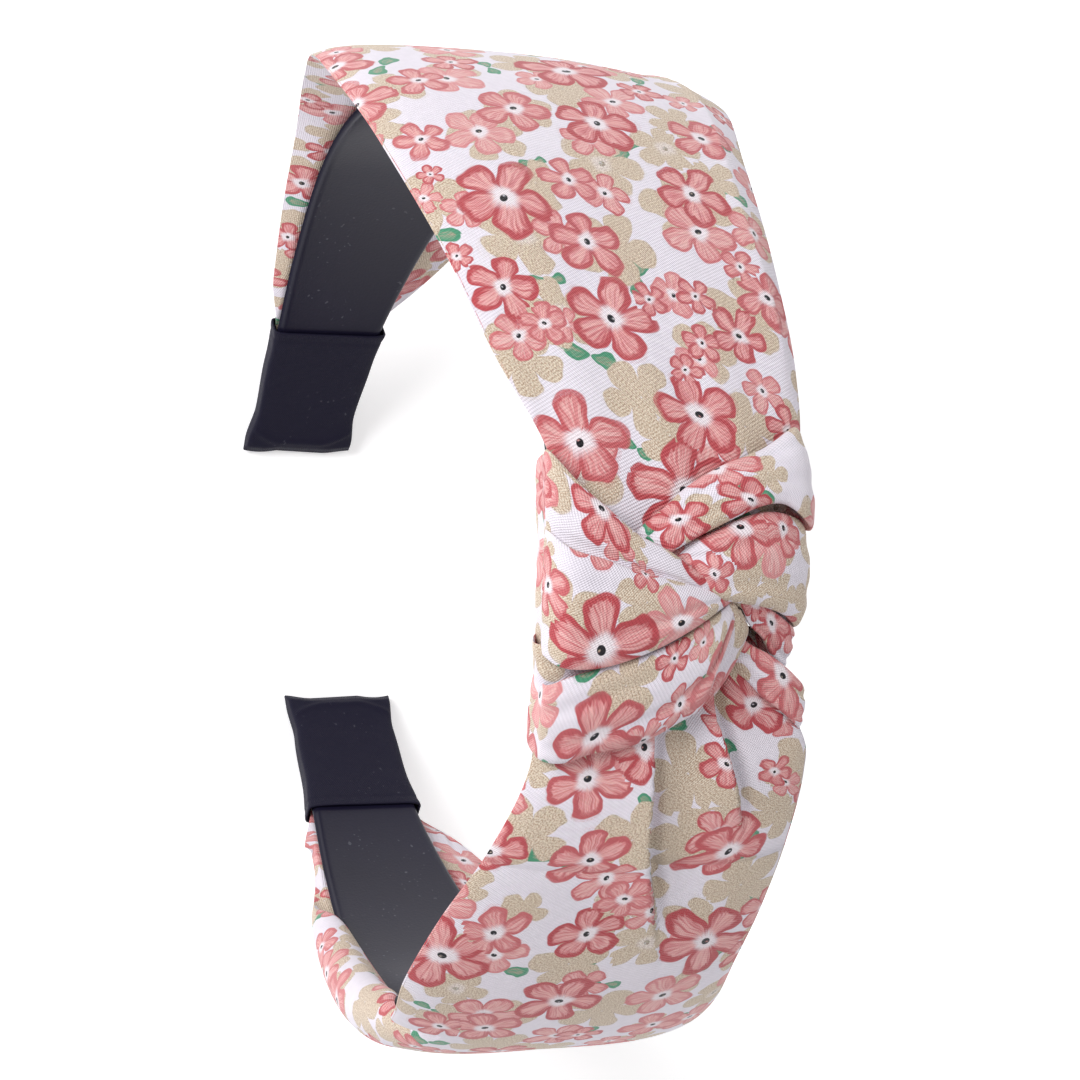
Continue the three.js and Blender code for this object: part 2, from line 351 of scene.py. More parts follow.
def make_weave():
    """Height = sine across times sine along, each at the pitch; the colour tint follows it as painted shade
    in the hollows, and a thread noise varies the tone.
    """
    tree, given, out = group(
        "woven threads", {"Cloth": "vector", "Pitch": "number", "Slant": "number"},
        {"Height": "number", "Tint": "number"},
    )
    parts = node(tree, "ShaderNodeSeparateXYZ", {0: given["Cloth"]}).outputs
    along = calc(tree, "DIVIDE", parts["X"], given["Pitch"])
    across = calc(tree, "DIVIDE", parts["Y"], given["Pitch"])
    slanted = calc(tree, "MULTIPLY_ADD", across, given["Slant"], along)
    warp = calc(tree, "SINE", calc(tree, "MULTIPLY", slanted, 2 * np.pi))
    weft = calc(tree, "SINE", calc(tree, "MULTIPLY", across, 2 * np.pi))
    relief = calc(tree, "MULTIPLY", warp, weft)
    uneven = noise(tree, given["Cloth"], 900.0)
    wire(tree, out["Height"], calc(tree, "MULTIPLY_ADD", uneven, 0.8, relief))
    # The colour tint: thread tone from a noise, and the relief, which darkens the hollows between threads as
    # painted shade.
    thread_tint = calc(tree, "MULTIPLY_ADD", uneven, 0.12, 0.93)
    wire(tree, out["Tint"], calc(tree, "MULTIPLY_ADD", relief, 0.06, thread_tint))
    return tree


WEAVE = make_weave()
print("the weave takes", len(WEAVE.nodes), "nodes")

# %% [markdown]
# ## The printed flower
#
# The print has flowers of five petals: coral ones with a pale heart and a black eye, and beige ones
# in glitter ink. One group draws them all. It takes a place measured from the flower's own middle,
# in flower radii, and folds the five sectors onto one petal, so a single drop shape becomes five.
# Every flower carries its own number, which bends its petals and shifts its shade.

# %% Shape the petal
SHADE_STEP = 7.31


def bend_place(tree, place):
    """Moves each place a little by a slow noise, so that no two petals are alike."""
    wobble = node(tree, "ShaderNodeTexNoise", {"Vector": place, "Scale": 1.7, "Detail": 1.0})
    centred = {0: wobble.outputs["Color"], 1: (0.5, 0.5, 0.5)}
    bent = node(tree, "ShaderNodeVectorMath", centred, operation="SUBTRACT").outputs[0]
    shift = node(tree, "ShaderNodeVectorMath", {0: bent, 3: 0.34}, operation="SCALE").outputs[0]
    moved = node(tree, "ShaderNodeVectorMath", {0: place, 1: shift}, operation="ADD").outputs[0]
    return node(tree, "ShaderNodeSeparateXYZ", {0: moved}).outputs


def distance(tree, x, y):
    """The square root of x squared plus y squared."""
    return calc(tree, "SQRT", calc(tree, "MULTIPLY_ADD", x, x, calc(tree, "MULTIPLY", y, y)))


def petal_luck(tree, own, which):
    """A random share from 0 to 1 for each petal, from the flower's own number and the petal's."""
    petal_number = calc(tree, "MODULO", calc(tree, "ADD", which, 10.0), 5.0)
    seed = calc(tree, "MULTIPLY_ADD", own, 91.7, petal_number)
    return node(tree, "ShaderNodeTexWhiteNoise", {"W": seed}, noise_dimensions="1D").outputs["Value"]


def petal_edge(tree, length, side):
    """0 inside and 1 on the outline: ((length - 0.5) / 0.5) squared + (side / width) squared, rooted.

    The width grows outwards, which makes the ellipse a drop.
    """
    width = calc(tree, "MULTIPLY_ADD", length, 0.27, 0.17)
    end_part = calc(tree, "POWER", calc(tree, "DIVIDE", calc(tree, "SUBTRACT", length, 0.5), 0.5), 2.0)
    side_part = calc(tree, "POWER", calc(tree, "DIVIDE", side, width), 2.0)
    return calc(tree, "SQRT", calc(tree, "ADD", end_part, side_part))


print("a flower's shade repeats every", round(1 / SHADE_STEP, 3), "of its own number")

# %% [markdown]
# ## The ink of a petal
#
# The print looks brushed. Each petal has a dark rim, a lighter fill, and strokes that run from the
# rim to the heart. One noise, drawn out along the petal, gives all three their uneven edges, so
# they agree with each other as the strokes of one brush do.

# %% Ink the petal and build the flower


def petal_streaks(tree, angle, reach, own):
    """A noise drawn out along the petals, like the brush strokes of the print."""
    stretched = {0: calc(tree, "MULTIPLY", angle, 9.0), 1: reach, 2: own}
    return noise(tree, node(tree, "ShaderNodeCombineXYZ", stretched).outputs[0], 1.6, 3.0)


def ink_petal(tree, given, own, luck, streak, edge):
    """The fill with pale streaks, and over it the rim, which strokes of its colour join to the heart."""
    drawn = calc(tree, "MULTIPLY_ADD", calc(tree, "SUBTRACT", streak, 0.5), 0.7, edge)
    start = given["Rim start"]
    rim = ramp(tree, drawn, start, calc(tree, "ADD", start, 0.1))
    stroke = calc(tree, "MULTIPLY", ramp(tree, streak, 0.44, 0.36), ramp(tree, edge, 1.0, 0.2, 0.85, 0.5))
    rim = calc(tree, "MAXIMUM", rim, calc(tree, "MULTIPLY", stroke, calc(tree, "LESS_THAN", start, 0.9)))
    shade = calc(tree, "FRACT", calc(tree, "MULTIPLY", own, SHADE_STEP))
    rim_ink = mix(tree, calc(tree, "MULTIPLY", shade, given["Shift"]), given["Rim"], given["Fill"])
    pale_streak = ramp(tree, streak, 0.46, 0.58, 0.0, 0.8)
    light = calc(tree, "ADD", pale_streak, calc(tree, "MULTIPLY", luck, 0.25))
    return mix(tree, rim, mix(tree, light, given["Fill"], given["Pale"]), rim_ink)


def make_flower():
    """Folds the place onto one petal, and inks the petal from its fill to the heart and the eye."""
    tree, given, out = group(
        "printed flower",
        {"Place": "vector", "Petals": "number", "Rim": "colour", "Fill": "colour", "Pale": "colour",
         "Heart": "number", "Eye": "number", "Rim start": "number", "Shift": "number"},
        {"Colour": "colour", "Cover": "number"},
    )
    parts = node(tree, "ShaderNodeSeparateXYZ", {0: given["Place"]}).outputs
    own = parts["Z"]
    spot = bend_place(tree, given["Place"])
    reach = distance(tree, spot["X"], spot["Y"])
    angle = calc(tree, "ARCTAN2", spot["Y"], spot["X"])
    sector = calc(tree, "DIVIDE", 2 * np.pi, given["Petals"])
    which = calc(tree, "ROUND", calc(tree, "DIVIDE", angle, sector))
    folded = calc(tree, "SUBTRACT", angle, calc(tree, "MULTIPLY", which, sector))
    luck = petal_luck(tree, own, which)
    size = calc(tree, "MULTIPLY_ADD", luck, 0.16, 0.86)
    length = calc(tree, "DIVIDE", calc(tree, "MULTIPLY", reach, calc(tree, "COSINE", folded)), size)
    side = calc(tree, "MULTIPLY", reach, calc(tree, "SINE", folded))
    edge = petal_edge(tree, length, side)
    wire(tree, out["Cover"], ramp(tree, edge, 0.93, 1.01, 1.0, 0.0))
    streak = petal_streaks(tree, angle, reach, own)
    petal = ink_petal(tree, given, own, luck, streak, edge)
    heart_edge = calc(tree, "MULTIPLY_ADD", streak, 0.22, reach)
    heart = calc(tree, "MULTIPLY", ramp(tree, heart_edge, 0.26, 0.44, 1.0, 0.0), given["Heart"])
    petal = mix(tree, heart, petal, paint(243, 232, 238))
    eye_reach = distance(tree, parts["X"], calc(tree, "MULTIPLY", parts["Y"], 1.3))
    eye = calc(tree, "MULTIPLY", ramp(tree, eye_reach, 0.08, 0.095, 1.0, 0.0), given["Eye"])
    wire(tree, out["Colour"], mix(tree, eye, petal, paint(16, 14, 24)))
    return tree


FLOWER = make_flower()
print("the flower takes", len(FLOWER.nodes), "nodes")

# %% [markdown]
# ## Laying out the print
#
# The printer's screens go on in layers: leaves first, then the glitter flowers, then two screens of
# coral ones. Each layer is a list of flowers with a middle, a radius and a turn on the flat cloth.
# Every face of a piece finds its nearest flower and stores where its corners lie from that flower's
# middle, in radii. The material reads this attribute, so the flowers stay sharp at any distance,
# and they follow the cloth round every fold.

# %% Scatter flowers and store the layers
# Smallest and largest radius in mm, room left round each flower as a share of the radii, and how many
# are tried.
SCREENS = {
    "leaves": (3.4, 4.6, 1.9, 3.0),
    "glitter": (5.2, 7.8, 0.78, 24.0),
    "coral_under": (4.0, 6.4, 1.2, 5.0),
    "coral_over": (3.6, 6.6, 1.1, 7.0),
}
PRINT_MARGIN = 3.0
PRINT_SEED = 7
rng = np.random.default_rng(PRINT_SEED)


def scatter(screen, low, high, placed, crowd):
    """Flowers as rows of (along, round, radius, turn, own number), each kept if the others leave room."""
    smallest, largest, room, tries = SCREENS[screen]
    rows = np.array(placed, float).reshape(-1, 5)
    number = int(crowd * tries * np.prod(high - low) / largest**2 / 3)
    for _ in range(number):
        spot = rng.uniform(low, high)
        radius = rng.uniform(smallest, largest)
        turn, own = rng.uniform(0, 2 * np.pi), rng.uniform()
        apart = np.linalg.norm(rows[:, :2] - spot, axis=1)
        if np.all(apart > room * (rows[:, 2] + radius)):
            rows = np.vstack([rows, [*spot, radius, turn, own]])
    return rows


def print_layer(piece, flat, screen, flowers):
    """Stores for every face corner its place from the nearest flower, turned and divided by the radius."""
    middles = flat.mean(axis=1)
    apart = np.linalg.norm(middles[:, None] - flowers[None, :, :2], axis=2) / flowers[None, :, 2]
    nearest = flowers[apart.argmin(axis=1)]
    away = (flat - nearest[:, None, :2]) / nearest[:, None, 2:3]
    cosine, sine = np.cos(nearest[:, 3:4]), np.sin(nearest[:, 3:4])
    across = away[..., 0] * cosine + away[..., 1] * sine
    along = away[..., 1] * cosine - away[..., 0] * sine
    own = np.broadcast_to(nearest[:, 4:5], across.shape)
    values = np.stack([across, along, own], axis=-1).astype(np.float32)
    piece.data.attributes.new(screen, "FLOAT_VECTOR", "CORNER").data.foreach_set("vector", values.ravel())


def print_cloth(piece, flat, placed, crowd=1.0):
    """Lays every screen on a piece: first the listed flowers, then scattered ones in the room left."""
    low = flat.reshape(-1, 2).min(axis=0) - PRINT_MARGIN
    high = flat.reshape(-1, 2).max(axis=0) + PRINT_MARGIN
    for screen in SCREENS:
        print_layer(piece, flat, screen, scatter(screen, low, high, placed.get(screen, []), crowd))


print("screens in printing order:", ", ".join(SCREENS))

# %% [markdown]
# ## Flowers set one by one
#
# The flowers that show most are placed one by one, as a tailor turns the cloth until the best ones lie on
# top. Each is written as its distance from the crown, its place across, its radius, the way one petal points
# in degrees, and a shade from 0, deep, to 1, pale. A glitter flower with shade 1 has a heart.

# %% Set the flowers that show
FLOWERS = {
    "tube_left": {
        "coral_over": (
            (-68, -20, 5, 115, 0.5), (-54, -24, 4.4, 125, 0.6), (-47, -24.5, 2.2, 50, 0.2),
            (-60, -9, 6.4, -65, 0.6), (-74, 4.5, 8.4, 105, 0), (-58, 3, 7, 165, 0.05),
            (-42.5, -16, 7.6, 145, 0.1), (-46, -5.5, 4.8, -170, 0.6), (-36, -5.5, 6, -175, 0.3),
            (-29.5, -18.5, 5.6, 165, 0.1), (-25.5, -4.5, 7, 25, 0.15), (-24.5, -14, 3.6, -110, 0.7),
            (-45.5, 12.5, 6.2, 140, 0.1), (-34.5, -23.5, 2.6, -20, 0.3), (-57, 19, 6, -120, 0.45),
            (-28, 1.5, 3.2, 125, 0.4), (-28.5, 8.5, 3.2, 140, 0.3), (-22.5, 8, 3.2, 180, 0.35),
            (-19, 5, 2.8, -65, 0.3), (-68.5, 14, 4, -135, 0.4), (-9.5, -11, 7.2, -175, 0.4),
            (-13, 6, 6.8, -100, 0.1), (-24, 14, 5, 75, 0.2), (-11.5, 19.5, 4.2, -175, 0.2),
            (-29.5, 19.5, 5.4, -135, 0.5), (-64.5, -33.5, 6.6, 110, 0.4), (-4, 2.5, 7.8, -105, 0.1),
            (-88, 21, 4, 90, 0.5), (-34, 16.5, 3.4, 15, 0.6),
        ),
        "coral_under": (
            (-44, -26, 2.8, 80, 0.3), (-23, -17.5, 4.2, 145, 0.4), (-24.5, -11.5, 3, 70, 0.4),
            (-39, 11.5, 6.2, -70, 0.4), (-59, 22.5, 3.8, 95, 0.5), (-29, 5, 4, 165, 0.7),
            (-20, 7, 3.4, 110, 0.8), (-67.5, 20.5, 3.4, 20, 0.5), (-39.5, 20.5, 4.6, 10, 0.5),
            (-17, 16, 3.8, -155, 0.5), (-41, -21.5, 3.6, 95, 0.5),
        ),
        "glitter": (
            (-69.5, -15.5, 6.2, 45, 0), (-53.5, -15, 6.4, -25, 0), (-49.5, 0.5, 6.8, 155, 1),
            (-35, -2, 7, 80, 0), (-36.5, -15, 7, 15, 1), (-20.5, -17.5, 6, 5, 0), (-54, 11.5, 5.8, 165, 1),
            (-41.5, 11, 7.8, -40, 0), (-72, 25, 7, 100, 0), (-27, 16, 6.6, 175, 0), (-15, -2, 6, -80, 0),
            (-10, 1, 4.8, 30, 0), (-12, 12.5, 5.6, 175, 0), (-88, 8.5, 7.4, 90, 0), (-48, 16.5, 5.2, 65, 0),
            (-58, -32.5, 5.6, 150, 0),
        ),
        "leaves": (
            (-55.5, -28, 3, 120, 0), (-49, -10, 2.4, 105, 0), (-30.5, -12.5, 2.8, 95, 0),
            (-20.5, -8.5, 4, 75, 0), (-66.5, 0.5, 2.8, -20, 0), (-9, -3.5, 2.6, 55, 0),
            (-83, -11, 2.8, 120, 0),
        ),
    },
    "tube_right": {
        "coral_over": (
            (30.5, -8, 6.4, -60, 0.35), (26.5, -1, 6, 0, 0.1), (41.5, -5.5, 6, -90, 0.4),
            (47, 0.5, 4.6, 85, 0.8), (53.5, -3, 6.2, -165, 0), (42.5, -18.5, 5.8, 150, 0.15),
            (53.5, -16, 5.6, 55, 0.6), (58.5, -21.5, 8, 65, 0.05), (67.5, -2, 7.4, 85, 0.1),
            (57, 16.5, 8.8, 150, 0), (75, -10, 6.2, 120, 0.5), (94, 16, 8.4, 90, 0.3),
            (41.5, 15, 6.8, 145, 0.3), (30.5, 19.5, 3.2, 155, 0.4), (28.5, 11, 4.4, -130, 0.2),
            (76, -16.5, 5.4, 60, 0.5), (22, 15, 6.8, -50, 0.1), (62.5, 27, 4.8, 85, 0.4),
        ),
        "coral_under": (
            (44, -3, 5, 165, 0.15), (49, 5, 5, -10, 0.4), (68.5, 14, 6.8, 125, 0.6),
            (32.5, 21.5, 3.4, 55, 0.5), (94, 0.5, 4.8, 90, 0.5), (23.5, 19.5, 5, 75, 0.6),
            (94, 32.5, 5.8, 90, 0.5),
        ),
        "glitter": (
            (30, -15.5, 4.2, 10, 0), (39, -14.5, 6.4, 70, 0), (38.5, -1, 6.4, 160, 0),
            (30.5, 6.5, 7.2, -85, 0), (39.5, 9, 7, -90, 0), (47.5, 19, 7, -10, 0), (50, -13, 4.2, 85, 0),
            (55.5, 6.5, 6.2, 25, 1), (70.5, 5.5, 7.4, 85, 0), (73.5, -16, 6.2, 55, 0), (73.5, 25, 6, 135, 1),
            (36.5, 21.5, 5.2, 40, 0), (72, -9, 6, 30, 0), (34, 14, 5, 25, 0), (46, -23.5, 4.2, 35, 0),
        ),
        "leaves": (
            (33.5, 1, 2.6, 10, 0), (60.5, -0.5, 2.6, 175, 0), (64, 3, 3, 85, 0), (61, 19.5, 3.2, 155, 0),
            (70.5, -19.5, 3, 65, 0), (78, 23, 3.8, 110, 0),
        ),
    },
    "front_upper": {
        "coral_over": (
            (-1.5, -10.5, 5.6, -115, 0.15), (-4.5, -15.5, 4, 145, 0.3),
        ),
        "coral_under": (
            (1.5, -9, 3.6, -15, 0.6), (5.5, -5, 2, 90, 0.6),
        ),
        "glitter": (
            (2, -7, 3.4, 90, 0), (2.5, -18, 2.8, 90, 0),
        ),
    },
    "front_middle": {
        "coral_over": (
            (14, -10.5, 8.2, -175, 0.05), (7, -17, 4.8, -10, 0.5), (5.5, -5, 3, 35, 0.6),
        ),
        "glitter": (
            (8.5, -5, 5.2, -180, 0), (12.5, -1, 3.4, 90, 0), (10, 5, 2.2, 90, 0), (4, -17.5, 2.8, 90, 0),
        ),
    },
    "front_lower": {
        "coral_over": (
            (24.5, -9, 7.2, 135, 0.3), (15, 0, 3.2, 65, 0.25),
        ),
        "coral_under": (
            (20.5, 2, 4, -160, 0.15), (25, -2, 4, 105, 0.3), (13, 4, 2.8, 105, 0.7),
        ),
        "glitter": (
            (18, -6, 5.6, 175, 0), (15, 6.5, 3.8, 5, 0), (22, -15, 5.4, -5, 0), (18, 7, 3.2, 40, 0),
        ),
    },
    "back_upper": {
        "coral_over": (
            (-2.5, 10, 4.8, -115, 0.1), (-0.5, 0, 4.8, 115, 0.15), (-7.5, 18.5, 3.8, -15, 0.4),
        ),
        "coral_under": (
            (-6.5, 6.5, 5.2, 35, 0.2),
        ),
        "glitter": (
            (-0.5, 3.5, 4.8, 65, 0), (-4.5, 17, 4, 75, 0), (-5.5, 13, 3.4, 90, 0),
        ),
    },
    "back_middle": {
        "coral_over": (
            (0.5, 8.5, 6, 85, 0.3), (0.5, 15, 4.4, 10, 0.5), (5.5, 4.5, 3.4, 40, 0.5),
        ),
        "glitter": (
            (3.5, 11.5, 6, 35, 0), (7.5, 10, 3.4, 90, 0), (8, 15, 3.8, 90, 0),
        ),
        "coral_under": (
            (4, 0, 2.8, 90, 0.3),
        ),
    },
    "back_twist": {
        "coral_over": (
            (11.4, 15.4, 5.2, -130, 0.3), (9, 12, 3.8, 75, 0.2),
        ),
        "coral_under": (
            (12, 18.2, 4.6, 20, 0.5),
        ),
    },
    "back_lower": {
        "coral_over": (
            (18, 18, 6.2, -125, 0.55), (21.5, 14.5, 5.8, 165, 0.1),
        ),
        "coral_under": (
            (23, 19.5, 4.4, 75, 0.6),
        ),
        "glitter": (
            (18, 11, 3.8, 5, 0),
        ),
    },
}


def own_number(index, shade):
    """Its place in the list picks its luck, and the fraction of this number times the step is its shade."""
    return (index % 7 + 0.02 + 0.9 * shade) / SHADE_STEP


def on_cloth(placed, along, across, flat):
    """Finds where flowers lie on the flat cloth, and turns them with it.

    The nearest grid point gives the place. The grid steps beside it, on the strip and on the cloth, give the
    matrix that takes a direction from one to the other.
    """
    found = {}
    for screen, flowers in placed.items():
        rows = []
        for index, (flower_along, flower_across, radius, turn, shade) in enumerate(flowers):
            apart = (along - flower_along) ** 2 + (across - flower_across) ** 2
            row, column = np.unravel_index(apart.argmin(), apart.shape)
            row, column = np.clip((row, column), 1, np.array(apart.shape) - 2)
            steps = [((row + 1, column), (row - 1, column)), ((row, column + 1), (row, column - 1))]
            strip = [[along[a] - along[b], across[a] - across[b]] for a, b in steps]
            cloth = [flat[a] - flat[b] for a, b in steps]
            ahead = np.array([np.cos(np.radians(turn)), np.sin(np.radians(turn))])
            ahead = ahead @ np.linalg.inv(strip) @ np.array(cloth)
            turned = np.arctan2(ahead[1], ahead[0])
            rows.append((*flat[row, column], radius, turned, own_number(index, shade)))
        found[screen] = rows
    return found


print(sum(len(rows) for screens in FLOWERS.values() for rows in screens.values()), "flowers set by hand")

# %% [markdown]
# ## Printed satin
#
# The cloth is a thin, slightly shiny polyester. Its ground is white with a breath of lavender. The screens
# are mixed over it in printing order. In the glitter ink a fine speckle mixes dull grains with bright ones,
# which are painted glints of the flakes. The weave darkens its hollows with painted shade, varies the tone of
# its threads and raises everything. A soft sheen stands for the fibres that catch light at the edge.

# %% Build the printed satin
SATIN_PITCH = 0.0005
INKS = {
    "leaves": {
        "Petals": 2.0, "Heart": 0.0, "Eye": 0.0, "Rim start": 0.55, "Shift": 0.0,
        "Rim": paint(74, 150, 116), "Fill": paint(96, 160, 128), "Pale": paint(168, 158, 138),
    },
    "glitter": {
        "Petals": 5.0, "Heart": 0.0, "Eye": 0.0, "Rim start": 0.92, "Shift": 0.0,
        "Rim": paint(148, 122, 94), "Fill": paint(206, 181, 158), "Pale": paint(214, 191, 170),
    },
    "coral_under": {
        "Petals": 5.0, "Heart": 1.0, "Eye": 1.0, "Rim start": 0.74, "Shift": 1.0,
        "Rim": paint(196, 84, 90), "Fill": paint(224, 148, 150), "Pale": paint(236, 186, 184),
    },
    "coral_over": {
        "Petals": 5.0, "Heart": 1.0, "Eye": 1.0, "Rim start": 0.63, "Shift": 0.9,
        "Rim": paint(186, 66, 74), "Fill": paint(217, 132, 135), "Pale": paint(236, 180, 178),
    },
}


def glitter_heart(tree, place):
    """1 for a glitter flower whose shade is close to 1, and 0 for the others."""
    own = node(tree, "ShaderNodeSeparateXYZ", {0: place}).outputs["Z"]
    shade = calc(tree, "FRACT", calc(tree, "MULTIPLY", own, SHADE_STEP))
    return calc(tree, "GREATER_THAN", shade, 0.88)


def glitter_grains_and_glints(tree, ink, speckle):
    """Dull grains of an ink, and bright ones that are painted glints of the flakes, told apart by a fine
    speckle.
    """
    dull = mix(tree, 0.6, ink, paint(174, 146, 122))
    bright = mix(tree, 0.6, ink, paint(240, 230, 212))
    return mix(tree, ramp(tree, speckle, 0.36, 0.62), dull, bright)


def tint_by(tree, colour, tint):
    """The colour times the tint, a plain number."""
    grey = node(tree, "ShaderNodeCombineColor", {0: tint, 1: tint, 2: tint}).outputs[0]
    inputs = {0: 1.0, 6: colour, 7: grey}
    return node(tree, "ShaderNodeMix", inputs, data_type="RGBA", blend_type="MULTIPLY").outputs[2]


def make_printed_satin():
    """The ground, then each screen mixed over it where its flowers cover, then the tint of the weave."""
    material, tree, shader = finish("printed satin")
    cloth = node(tree, "ShaderNodeUVMap", {}, uv_map="cloth").outputs[0]
    weave = use(tree, WEAVE, {"Cloth": cloth, "Pitch": SATIN_PITCH, "Slant": 0.5})
    speckle = noise(tree, cloth, 4400.0, 1.0)
    colour = mix(tree, noise(tree, cloth, 70.0), paint(241, 234, 243), paint(232, 225, 237))
    for screen in SCREENS:
        inks = INKS[screen]
        place = node(tree, "ShaderNodeAttribute", {}, attribute_name=screen).outputs["Vector"]
        if screen == "glitter":
            heart = glitter_heart(tree, place)
            inks = {**inks, "Heart": heart, "Eye": heart}
        flower = use(tree, FLOWER, {"Place": place, **inks})
        ink = flower["Colour"]
        # Glitter ink gets its dull grains and its painted glints.
        if screen == "glitter":
            ink = glitter_grains_and_glints(tree, ink, speckle)
        colour = mix(tree, flower["Cover"], colour, ink)
    # The weave's tint multiplies the colour: thread tone, and painted shade in the hollows between threads.
    wire(tree, shader["Base Color"], tint_by(tree, colour, weave["Tint"]))
    wire(tree, shader["Roughness"], calc(tree, "MULTIPLY_ADD", speckle, 0.16, 0.44))
    shader["Specular IOR Level"].default_value = 0.35
    shader["Sheen Weight"].default_value = 0.12
    shader["Sheen Roughness"].default_value = 0.4
    relief = {"Height": weave["Height"], "Strength": 0.7, "Distance": 0.0001}
    wire(tree, shader["Normal"], node(tree, "ShaderNodeBump", relief).outputs[0])
    return material


SATIN = make_printed_satin()
print(SATIN.name, "takes", len(SATIN.node_tree.nodes), "nodes")

# %% [markdown]
# ## Lint
#
# Black plastic and black ribbon both show the odd speck of lint. A very fine noise gives the
# specks, and a slow one gathers them here and there, because dust is never spread evenly.

# %% Build the lint


def make_lint():
    """A speck is where a fine noise is above its limit; the specks are few and pale."""
    tree, given, out = group("lint", {"Place": "vector", "Amount": "number"}, {"Specks": "number"})
    fine = noise(tree, given["Place"], 1500.0, 0.0)
    patchy = noise(tree, given["Place"], 90.0, 1.0)
    specks = calc(tree, "MULTIPLY", ramp(tree, fine, 0.74, 0.82), ramp(tree, patchy, 0.5, 0.7))
    wire(tree, out["Specks"], calc(tree, "MULTIPLY", specks, given["Amount"]))
    return tree


LINT = make_lint()
print("the lint takes", len(LINT.nodes), "nodes")

# %% [markdown]
# ## Hoop plastic and wrap ribbon
#
# The hoop is moulded plastic with a satin blue-black skin, a fine grain and a little lint. The
# wraps are a darker woven ribbon. Black things are never quite black: both keep a little blue and a
# soft highlight.

# %% Build the two blacks
RIBBON_PITCH = 0.00036


def make_hoop_plastic():
    """A blue-black skin with slow clouds in its colour and gloss, and a fine grain."""
    material, tree, shader = finish("hoop plastic")
    place = node(tree, "ShaderNodeTexCoord", {}).outputs["Object"]
    lint = use(tree, LINT, {"Place": place, "Amount": 0.3})["Specks"]
    cloudy = noise(tree, place, 45.0, 3.0)
    colour = mix(tree, cloudy, paint(19, 17, 34), paint(31, 29, 50))
    wire(tree, shader["Base Color"], mix(tree, lint, colour, paint(120, 122, 132)))
    wire(tree, shader["Roughness"], calc(tree, "MULTIPLY_ADD", cloudy, 0.14, 0.24))
    shader["Specular IOR Level"].default_value = 0.25
    grain = {"Height": noise(tree, place, 2200.0, 2.0), "Strength": 0.35, "Distance": 0.00005}
    wire(tree, shader["Normal"], node(tree, "ShaderNodeBump", grain).outputs[0])
    return material


def make_wrap_ribbon():
    """A darker weave with the same lint, and hardly any gloss."""
    material, tree, shader = finish("wrap ribbon")
    cloth = node(tree, "ShaderNodeUVMap", {}, uv_map="cloth").outputs[0]
    place = node(tree, "ShaderNodeTexCoord", {}).outputs["Object"]
    weave = use(tree, WEAVE, {"Cloth": cloth, "Pitch": RIBBON_PITCH, "Slant": 0.0})
    lint = use(tree, LINT, {"Place": place, "Amount": 0.25})["Specks"]
    # The weave's tint picks between the two blacks: thread tone, and painted shade in the hollows of the
    # weave.
    colour = mix(tree, weave["Tint"], paint(12, 11, 22), paint(26, 24, 44))
    wire(tree, shader["Base Color"], mix(tree, lint, colour, paint(110, 112, 122)))
    wire(tree, shader["Roughness"], calc(tree, "MULTIPLY_ADD", weave["Height"], 0.06, 0.5))
    shader["Specular IOR Level"].default_value = 0.14
    relief = {"Height": weave["Height"], "Strength": 0.6, "Distance": 0.00006}
    wire(tree, shader["Normal"], node(tree, "ShaderNodeBump", relief).outputs[0])
    return material


PLASTIC = make_hoop_plastic()
RIBBON = make_wrap_ribbon()
for black in (PLASTIC, RIBBON):
    print(black.name, "takes", len(black.node_tree.nodes), "nodes")

# %% [markdown]
# ## Settling a piece
#
# A finished piece gets its material, rides on the headband's one body, and stands for the plain
# solids whose room it takes. One function does this for all of them, so that none is forgotten.

# %% Settle a piece


def settle(piece, material, slot, *nodes):
    """Gives a piece its finish, puts it on the headband's body, and hides the CAD nodes it stands for."""
    piece.data.materials.append(material)
    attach(piece, "root")
    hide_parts(*nodes)
    used = sum(face.area for face in piece.data.polygons) / MM**2
    print(piece.name, "has", len(piece.data.polygons), "faces and a surface of", round(used), "square mm")


# %% [markdown]
# ## The hoop
#
# One moulded strip, widest over the ears and narrower to the tips. Its section is a flat bar with
# round edges, carried along the strip as a ring of points. A bar bent by a modifier would do too,
# but the ring follows the hoop's own width at every place.

# %% Make the hoop
# Distance from the crown, and the hoop's width there.
HOOP_WIDTHS = ((0, 27), (40, 27.4), (100, 29), (125, 26.4), (150, 21.6), (167, 18.4), (190, 16.2))
HOOP_RINGS = 420
HOOP_COLUMNS = 64
HOOP_FLAT_SHARE = 0.86
THINNEST_TIP = 0.09


def hoop_width(along):
    """The hoop's width at a distance either way from the crown."""
    return smooth_rows(HOOP_WIDTHS, np.abs(along))[..., 0]


